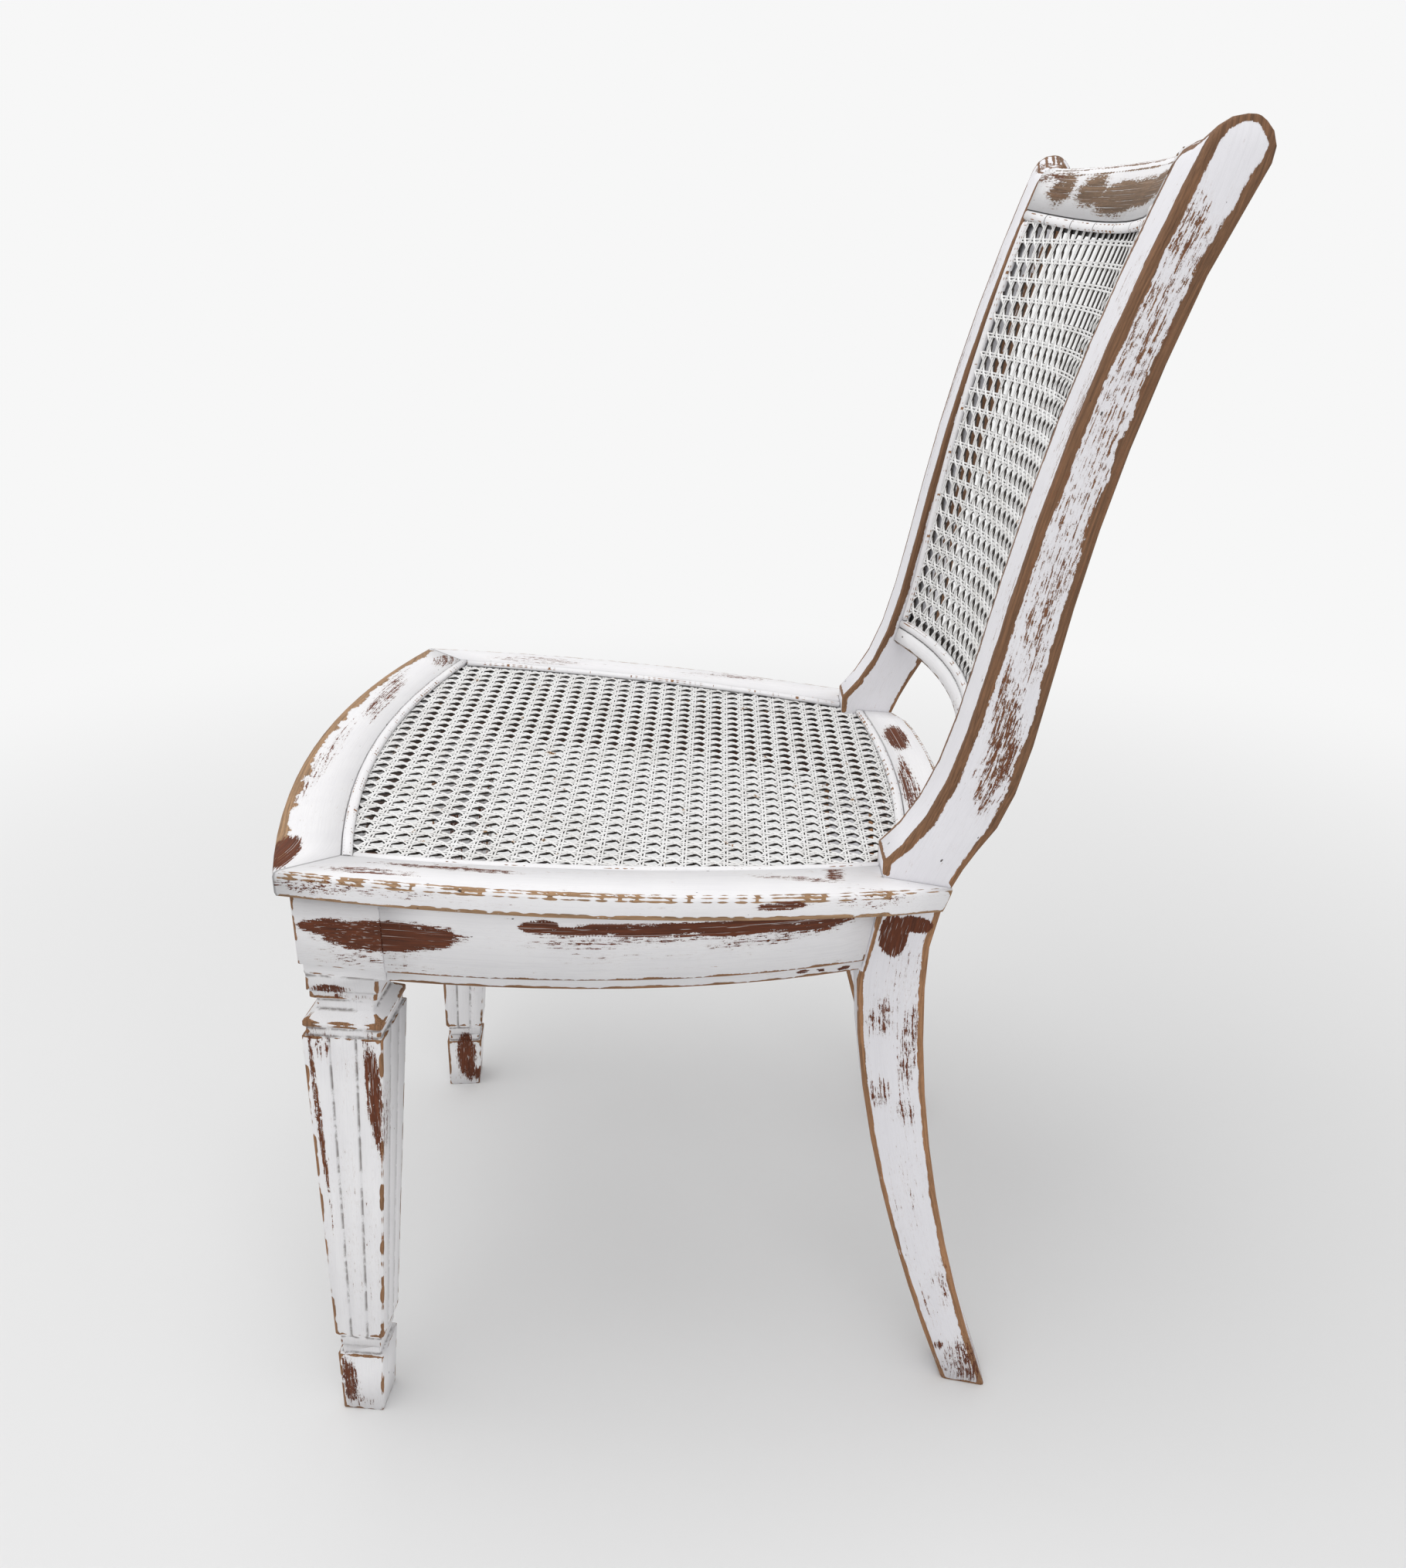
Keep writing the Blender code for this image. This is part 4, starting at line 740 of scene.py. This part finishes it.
def strands(inside, low, high):
    """Straight guide lines of the strands, clipped to the opening."""
    du, dv = CANE_PITCH
    lines = []

    def clip(start, way, kind, sign):
        length = 2 * math.hypot(high[0] - low[0], high[1] - low[1])
        t = np.arange(-length / 2, length / 2, CLIP_STEP)
        u, v = start[0] + way[0] * t, start[1] + way[1] * t
        held = t[inside(u, v)]
        if len(held) and held[-1] - held[0] > SHORTEST:
            ends = [(start[0] + way[0] * s, start[1] + way[1] * s) for s in (held[0], held[-1])]
            lines.append((ends, kind, sign))

    for i in range(int(low[0] / du) - 1, int(high[0] / du) + 2):
        for sign in (-1, 1):
            clip((i * du + sign * PAIR_HALF, (low[1] + high[1]) / 2), (0, 1), 0, sign)
    for j in range(int(low[1] / dv) - 1, int(high[1] / dv) + 2):
        for sign in (-1, 1):
            clip(((low[0] + high[0]) / 2, j * dv + sign * PAIR_HALF), (1, 0), 1, sign)
    way = Vector((du, dv)).normalized()
    reach = int((high[0] - low[0]) / du + (high[1] - low[1]) / dv) + 4
    for k in range(-reach, reach):
        middle = (low[1] + high[1]) / 2
        shift = middle / dv + k + 0.5
        clip((shift * du, middle), (way.x, way.y), 2, 1)
        clip(((k + 0.5 - middle / dv) * du, middle), (-way.x, way.y), 3, -1)
    return lines


def make_weave_tree():
    """Geometry nodes: guide lines become flat strands that pass over and under."""
    tree = bpy.data.node_groups.new("cane weave", "GeometryNodeTree")
    face = tree.interface
    face.new_socket(name="Geometry", in_out="INPUT", socket_type="NodeSocketGeometry")
    for label, value in (("Width", STRAND_WIDE), ("Thickness", STRAND_THICK), ("Sample", SAMPLE),
                         ("Pitch across", CANE_PITCH[0]), ("Pitch up", CANE_PITCH[1]),
                         ("Pair half", PAIR_HALF), ("Lift", WEAVE_LIFT),
                         ("Diagonal lift", DIAGONAL_LIFT)):
        socket = face.new_socket(name=label, in_out="INPUT", socket_type="NodeSocketFloat")
        socket.default_value = value
    face.new_socket(name="Material", in_out="INPUT", socket_type="NodeSocketMaterial")
    face.new_socket(name="Geometry", in_out="OUTPUT", socket_type="NodeSocketGeometry")
    given = tree.nodes.new("NodeGroupInput").outputs
    result = tree.nodes.new("NodeGroupOutput")

    def named(name):
        made = add(tree, "GeometryNodeInputNamedAttribute", data_type="FLOAT")
        made.inputs["Name"].default_value = name
        return made.outputs[0]

    kind = named("kind")
    sign = named("sign")
    lines = add(tree, "GeometryNodeMeshToCurve", {0: given["Geometry"]}).outputs[0]
    lines = add(tree, "GeometryNodeResampleCurve",
                {"Curve": lines, "Length": given["Sample"]}, mode="LENGTH").outputs[0]
    place = add(tree, "GeometryNodeInputPosition").outputs[0]
    split = add(tree, "ShaderNodeSeparateXYZ", {0: place}).outputs

    def crossing(coordinate, pitch):
        """Bump of height 1 and -1 where a strand meets a crossing pair."""
        cells = maths(tree, "DIVIDE", coordinate, pitch)
        nearest = maths(tree, "SUBTRACT", cells, maths(tree, "ROUND", cells))
        away = maths(tree, "DIVIDE", maths(tree, "MULTIPLY", nearest, pitch), given["Pair half"])
        fall = maths(tree, "MULTIPLY", maths(tree, "MULTIPLY", away, away), -0.5)
        fall = maths(tree, "POWER", math.e, maths(tree, "ADD", fall, 0.5))
        return maths(tree, "MULTIPLY", away, fall)

    up_lift = maths(tree, "MULTIPLY", crossing(split[1], given["Pitch up"]), sign)
    up_lift = maths(tree, "MULTIPLY", up_lift, given["Lift"])
    side_lift = maths(tree, "MULTIPLY", crossing(split[0], given["Pitch across"]), sign)
    side_lift = maths(tree, "MULTIPLY", side_lift, maths(tree, "MULTIPLY", given["Lift"], -1.0))
    turns = maths(tree, "MULTIPLY", maths(tree, "DIVIDE", split[0], given["Pitch across"]), math.tau)
    diagonal = maths(tree, "MULTIPLY", maths(tree, "COSINE", turns), sign)
    diagonal = maths(tree, "MULTIPLY", diagonal, given["Diagonal lift"])
    is_side = maths(tree, "COMPARE", kind, 1.0, 0.1)
    is_diagonal = maths(tree, "GREATER_THAN", kind, 1.5)
    lift = add(tree, "ShaderNodeMix", {0: is_side, 2: up_lift, 3: side_lift}).outputs[0]
    lift = add(tree, "ShaderNodeMix", {0: is_diagonal, 2: lift, 3: diagonal}).outputs[0]
    offset = add(tree, "ShaderNodeCombineXYZ", {2: lift}).outputs[0]
    lines = add(tree, "GeometryNodeSetPosition", {"Geometry": lines, "Offset": offset}).outputs[0]
    lines = add(tree, "GeometryNodeSetCurveNormal", {"Curve": lines}, mode="Z_UP").outputs[0]
    top = maths(tree, "MULTIPLY", given["Width"], TOP_SHARE)
    bar = add(tree, "GeometryNodeCurvePrimitiveQuadrilateral",
              {"Bottom Width": given["Width"], "Top Width": top, "Height": given["Thickness"],
               "Offset": 0.0}, mode="TRAPEZOID").outputs[0]
    section = add(tree, "GeometryNodeTransform",
                  {"Geometry": bar, "Rotation": (0, 0, math.radians(-90))}).outputs[0]
    sheet = add(tree, "GeometryNodeCurveToMesh", {"Curve": lines, "Profile Curve": section,
                                                  "Fill Caps": True}).outputs[0]
    sheet = add(tree, "GeometryNodeRealizeInstances", {0: sheet}).outputs[0]
    sheet = add(tree, "GeometryNodeSetMaterial", {"Geometry": sheet,
                                                  "Material": given["Material"]}).outputs[0]
    tree.links.new(sheet, result.inputs[0])
    return tree


weave_tree = make_weave_tree()


def weave(name, lines, width, settle):
    """Woven strands from guide lines, laid on the panel by settle(points)."""
    build = bmesh.new()
    kind = build.verts.layers.float.new("kind")
    sign = build.verts.layers.float.new("sign")
    for ends, which, side in lines:
        pair = [build.verts.new((u, v, 0)) for u, v in ends]
        for vert in pair:
            vert[kind] = which
            vert[sign] = side
        build.edges.new(pair)
    mesh = bpy.data.meshes.new(name + "_guides")
    build.to_mesh(mesh)
    build.free()
    guides = bpy.data.objects.new(name + "_guides", mesh)
    bpy.context.scene.collection.objects.link(guides)
    modifier = guides.modifiers.new("weave", "NODES")
    modifier.node_group = weave_tree
    values = {"Width": width, "Material": cane_paint}
    for item in weave_tree.interface.items_tree:
        if item.in_out == "INPUT" and item.name in values:
            modifier[item.identifier] = values[item.name]
    graph = bpy.context.evaluated_depsgraph_get()
    woven = bpy.data.meshes.new_from_object(guides.evaluated_get(graph))
    guides.modifiers.clear()
    bpy.data.objects.remove(guides)
    points = read(woven.vertices, "co")
    facing = read(woven.polygons, "normal")
    # rise and top drive the painted shade of the cane: low and sideways faces turn dark.
    write(woven, "rise", points[:, 2].copy())
    write(woven, "top", (facing[:, 2] > UPWARD).astype(float), "FACE")
    woven.vertices.foreach_set("co", settle(points).ravel())
    woven.update()
    piece = bpy.data.objects.new(name, woven)
    bpy.context.scene.collection.objects.link(piece)
    for polygon in woven.polygons:
        polygon.use_smooth = True
    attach(piece, "root")
    return piece


# The seat's panel lies flat in the frame, which falls towards the back.
SEAT_WIDEST = -0.1
SEAT_REAR_HALF = 0.145
seat_points = node_points("seat_cane")
seat_fall, seat_level = np.polyfit(seat_points[:, 1], seat_points[:, 2], 1)
seat_front = spline_edge("seat_spline_front", 0, 1, -1)
seat_rear = spline_edge("seat_spline_rear", 0, 1, 1)
seat_side = spline_edge("seat_spline_left", 1, 0, 1)
seat_low = (-seat_side(SEAT_WIDEST), float(seat_front(0)))
seat_high = (seat_side(SEAT_WIDEST), float(seat_rear(0)))


def in_seat(u, v):
    """Inside the seat's opening, short of the spline's outer edge."""
    return ((np.abs(u) < seat_side(v) - TUCK) & (v > seat_front(u) + TUCK)
            & (v < seat_rear(np.clip(u, -SEAT_REAR_HALF, SEAT_REAR_HALF)) - TUCK))


def lay_seat(points):
    """Flat strands laid on the seat's plane."""
    u, v, w = points.T
    return np.stack([u, v, seat_level + seat_fall * v + w], axis=1)


seat_lines = strands(in_seat, seat_low, seat_high)
seat_straight = weave("seat_cane_straight", [x for x in seat_lines if x[1] < 2], STRAND_WIDE,
                      lay_seat)
seat_diagonal = weave("seat_cane_diagonal", [x for x in seat_lines if x[1] > 1], DIAGONAL_WIDE,
                      lay_seat)
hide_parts("seat_cane")


# The back's panel is bent to the barrel of its rails and to the posts' sweep.
BACK_HALF = 0.17
BACK_CEILING = 0.845
edge_points = node_points("back_spline_left")
sweep = np.polyfit(edge_points[:, 2], edge_points[:, 1], 6)
back_top = spline_edge("back_spline_top", 0, 2, 1)
back_side = spline_edge("back_spline_left", 2, 0, 1)
back_floor = float(node_points("back_spline_bottom")[:, 2].min())
panel_points = node_points("back_cane")


def barrel(u, v):
    """Middle of the back panel at the height v, u out from the centre."""
    share = u / back_side(v)
    return np.polyval(sweep, v) + np.polyval(sag, v) * (1 - share ** 2)


share = panel_points[:, 0] / back_side(panel_points[:, 2])
centre = np.abs(share) < 0.3
rise = (panel_points[:, 1] - np.polyval(sweep, panel_points[:, 2])) / (1 - share ** 2 + 1e-9)
sag = np.polyfit(panel_points[centre, 2], rise[centre], 1)


def in_back(u, v):
    """Inside the back's opening, short of the spline's outer edge."""
    return ((np.abs(u) < back_side(v) - TUCK) & (v > back_floor + TUCK)
            & (v < back_top(u) - TUCK))


def lay_back(points):
    """Flat strands bent on to the barrel."""
    u, v, w = points.T
    return np.stack([u, barrel(u, v) - w, v], axis=1)


back_lines = strands(in_back, (-BACK_HALF, back_floor), (BACK_HALF, BACK_CEILING))
back_straight = weave("back_cane_straight", [x for x in back_lines if x[1] < 2], STRAND_WIDE,
                      lay_back)
back_diagonal = weave("back_cane_diagonal", [x for x in back_lines if x[1] > 1], DIAGONAL_WIDE,
                      lay_back)
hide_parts("back_cane")


# The reed splines are half-round beads driven into the rebates over the edges
# of the cane, and painted white with the rest.
reed_paint = painted_wood("painted reed", broken=0.8, specks=0.9, joint_grime=0.9)
kerfed_paint = painted_wood("painted reed with kerfs", broken=0.8, specks=0.9, joint_grime=0.9,
                            kerfs=1.0)
for name, axis in (("seat_spline_front", 0), ("seat_spline_rear", 0), ("seat_spline_left", 1),
                   ("seat_spline_right", 1), ("back_spline_top", 0), ("back_spline_bottom", 0),
                   ("back_spline_left", 2), ("back_spline_right", 2)):
    dressed(name, axis, kerfed_paint if name == "back_spline_top" else reed_paint, band=0.0005)


# A pale floor that fades into a white backdrop, and soft light from above, so
# that the whites hold their shade.
BACKDROP = 0.93
FLOOR_RADIUS = 14
FLOOR_DROP = 0.0005


def seen_rays(tree):
    """1 for the rays that show the surroundings, 0 for those that light the chair."""
    rays = add(tree, "ShaderNodeLightPath").outputs
    seen = maths(tree, "MAXIMUM", rays["Is Camera Ray"], rays["Is Glossy Ray"])
    return maths(tree, "MAXIMUM", seen, rays["Is Transmission Ray"])


def pale_floor():
    """Matt floor, as bright as the backdrop where it is far from the chair."""
    material, tree, shader = new_material("pale floor")
    shader.inputs["Base Color"].default_value = (0.80, 0.80, 0.80, 1)
    shader.inputs["Roughness"].default_value = 0.9
    place = object_place(tree)
    out = add(tree, "ShaderNodeVectorMath", {0: place}, operation="LENGTH").outputs["Value"]
    fade = maths(tree, "MULTIPLY", ramp(tree, out, 0.45, 2.0), seen_rays(tree))
    glow = add(tree, "ShaderNodeEmission", {"Strength": BACKDROP}).outputs[0]
    mixed = add(tree, "ShaderNodeMixShader", {0: fade, 1: shader.outputs[0], 2: glow}).outputs[0]
    tree.links.new(mixed, tree.nodes["Material Output"].inputs["Surface"])
    return material


build = bmesh.new()
bmesh.ops.create_circle(build, cap_ends=True, segments=96, radius=FLOOR_RADIUS)
floor_mesh = bpy.data.meshes.new("floor")
build.to_mesh(floor_mesh)
build.free()
floor_mesh.materials.append(pale_floor())
floor = bpy.data.objects.new("floor", floor_mesh)
floor.location.z = -FLOOR_DROP
bpy.context.scene.collection.objects.link(floor)


def softbox(name, place, aim, size, power, colour=(1, 1, 1)):
    """Square area light aimed at a point."""
    light = bpy.data.lights.new(name, "AREA")
    light.size = size
    light.energy = power
    light.color = colour
    lamp = bpy.data.objects.new(name, light)
    lamp.location = place
    lamp.rotation_euler = (Vector(aim) - Vector(place)).to_track_quat("-Z", "Y").to_euler()
    bpy.context.scene.collection.objects.link(lamp)


softbox("overhead", (0.3, -0.5, 2.6), (0, 0, 0.4), 1.8, 26)
softbox("side fill", (2.6, 0.9, 1.5), (0, 0, 0.45), 1.6, 11, (0.97, 0.98, 1.0))

world = bpy.data.worlds.new("studio")
bpy.context.scene.world = world
world.use_nodes = True
tree = world.node_tree
sky = tree.nodes["Background"]
lit = ramp(tree, seen_rays(tree), 0.0, 1.0, 0.67, BACKDROP, "LINEAR")
tree.links.new(lit, sky.inputs["Strength"])
sky.inputs["Color"].default_value = (1, 1, 1, 1)


# The camera stands where the photograph was taken from, beside the chair and
# looking a little down on the seat.
EYE = (0.9835, 0.00685, 0.828)
PITCH = math.radians(23.10)
YAW = math.radians(-0.606)
ROLL = math.radians(0.524)
FOCAL_PIXELS = 1744.3
PHOTO_HIGH = 2030
AXIS_DROP = 22.4
SENSOR = 36

ahead = Vector((-math.cos(YAW) * math.cos(PITCH), math.sin(YAW) * math.cos(PITCH),
                -math.sin(PITCH)))
level_right = ahead.cross(Vector((0, 0, 1))).normalized()
level_up = level_right.cross(ahead)
right = math.cos(ROLL) * level_right + math.sin(ROLL) * level_up
up = math.cos(ROLL) * level_up - math.sin(ROLL) * level_right
lens = bpy.data.cameras.new("camera")
lens.sensor_width = SENSOR
lens.lens = SENSOR * FOCAL_PIXELS / PHOTO_HIGH
lens.shift_y = AXIS_DROP / PHOTO_HIGH
camera = bpy.data.objects.new("camera", lens)
camera.matrix_world = Matrix.Translation(EYE) @ Matrix((right, up, -ahead)).transposed().to_4x4()
bpy.context.scene.collection.objects.link(camera)
bpy.context.scene.camera = camera

bpy.context.scene.view_settings.view_transform = "Standard"
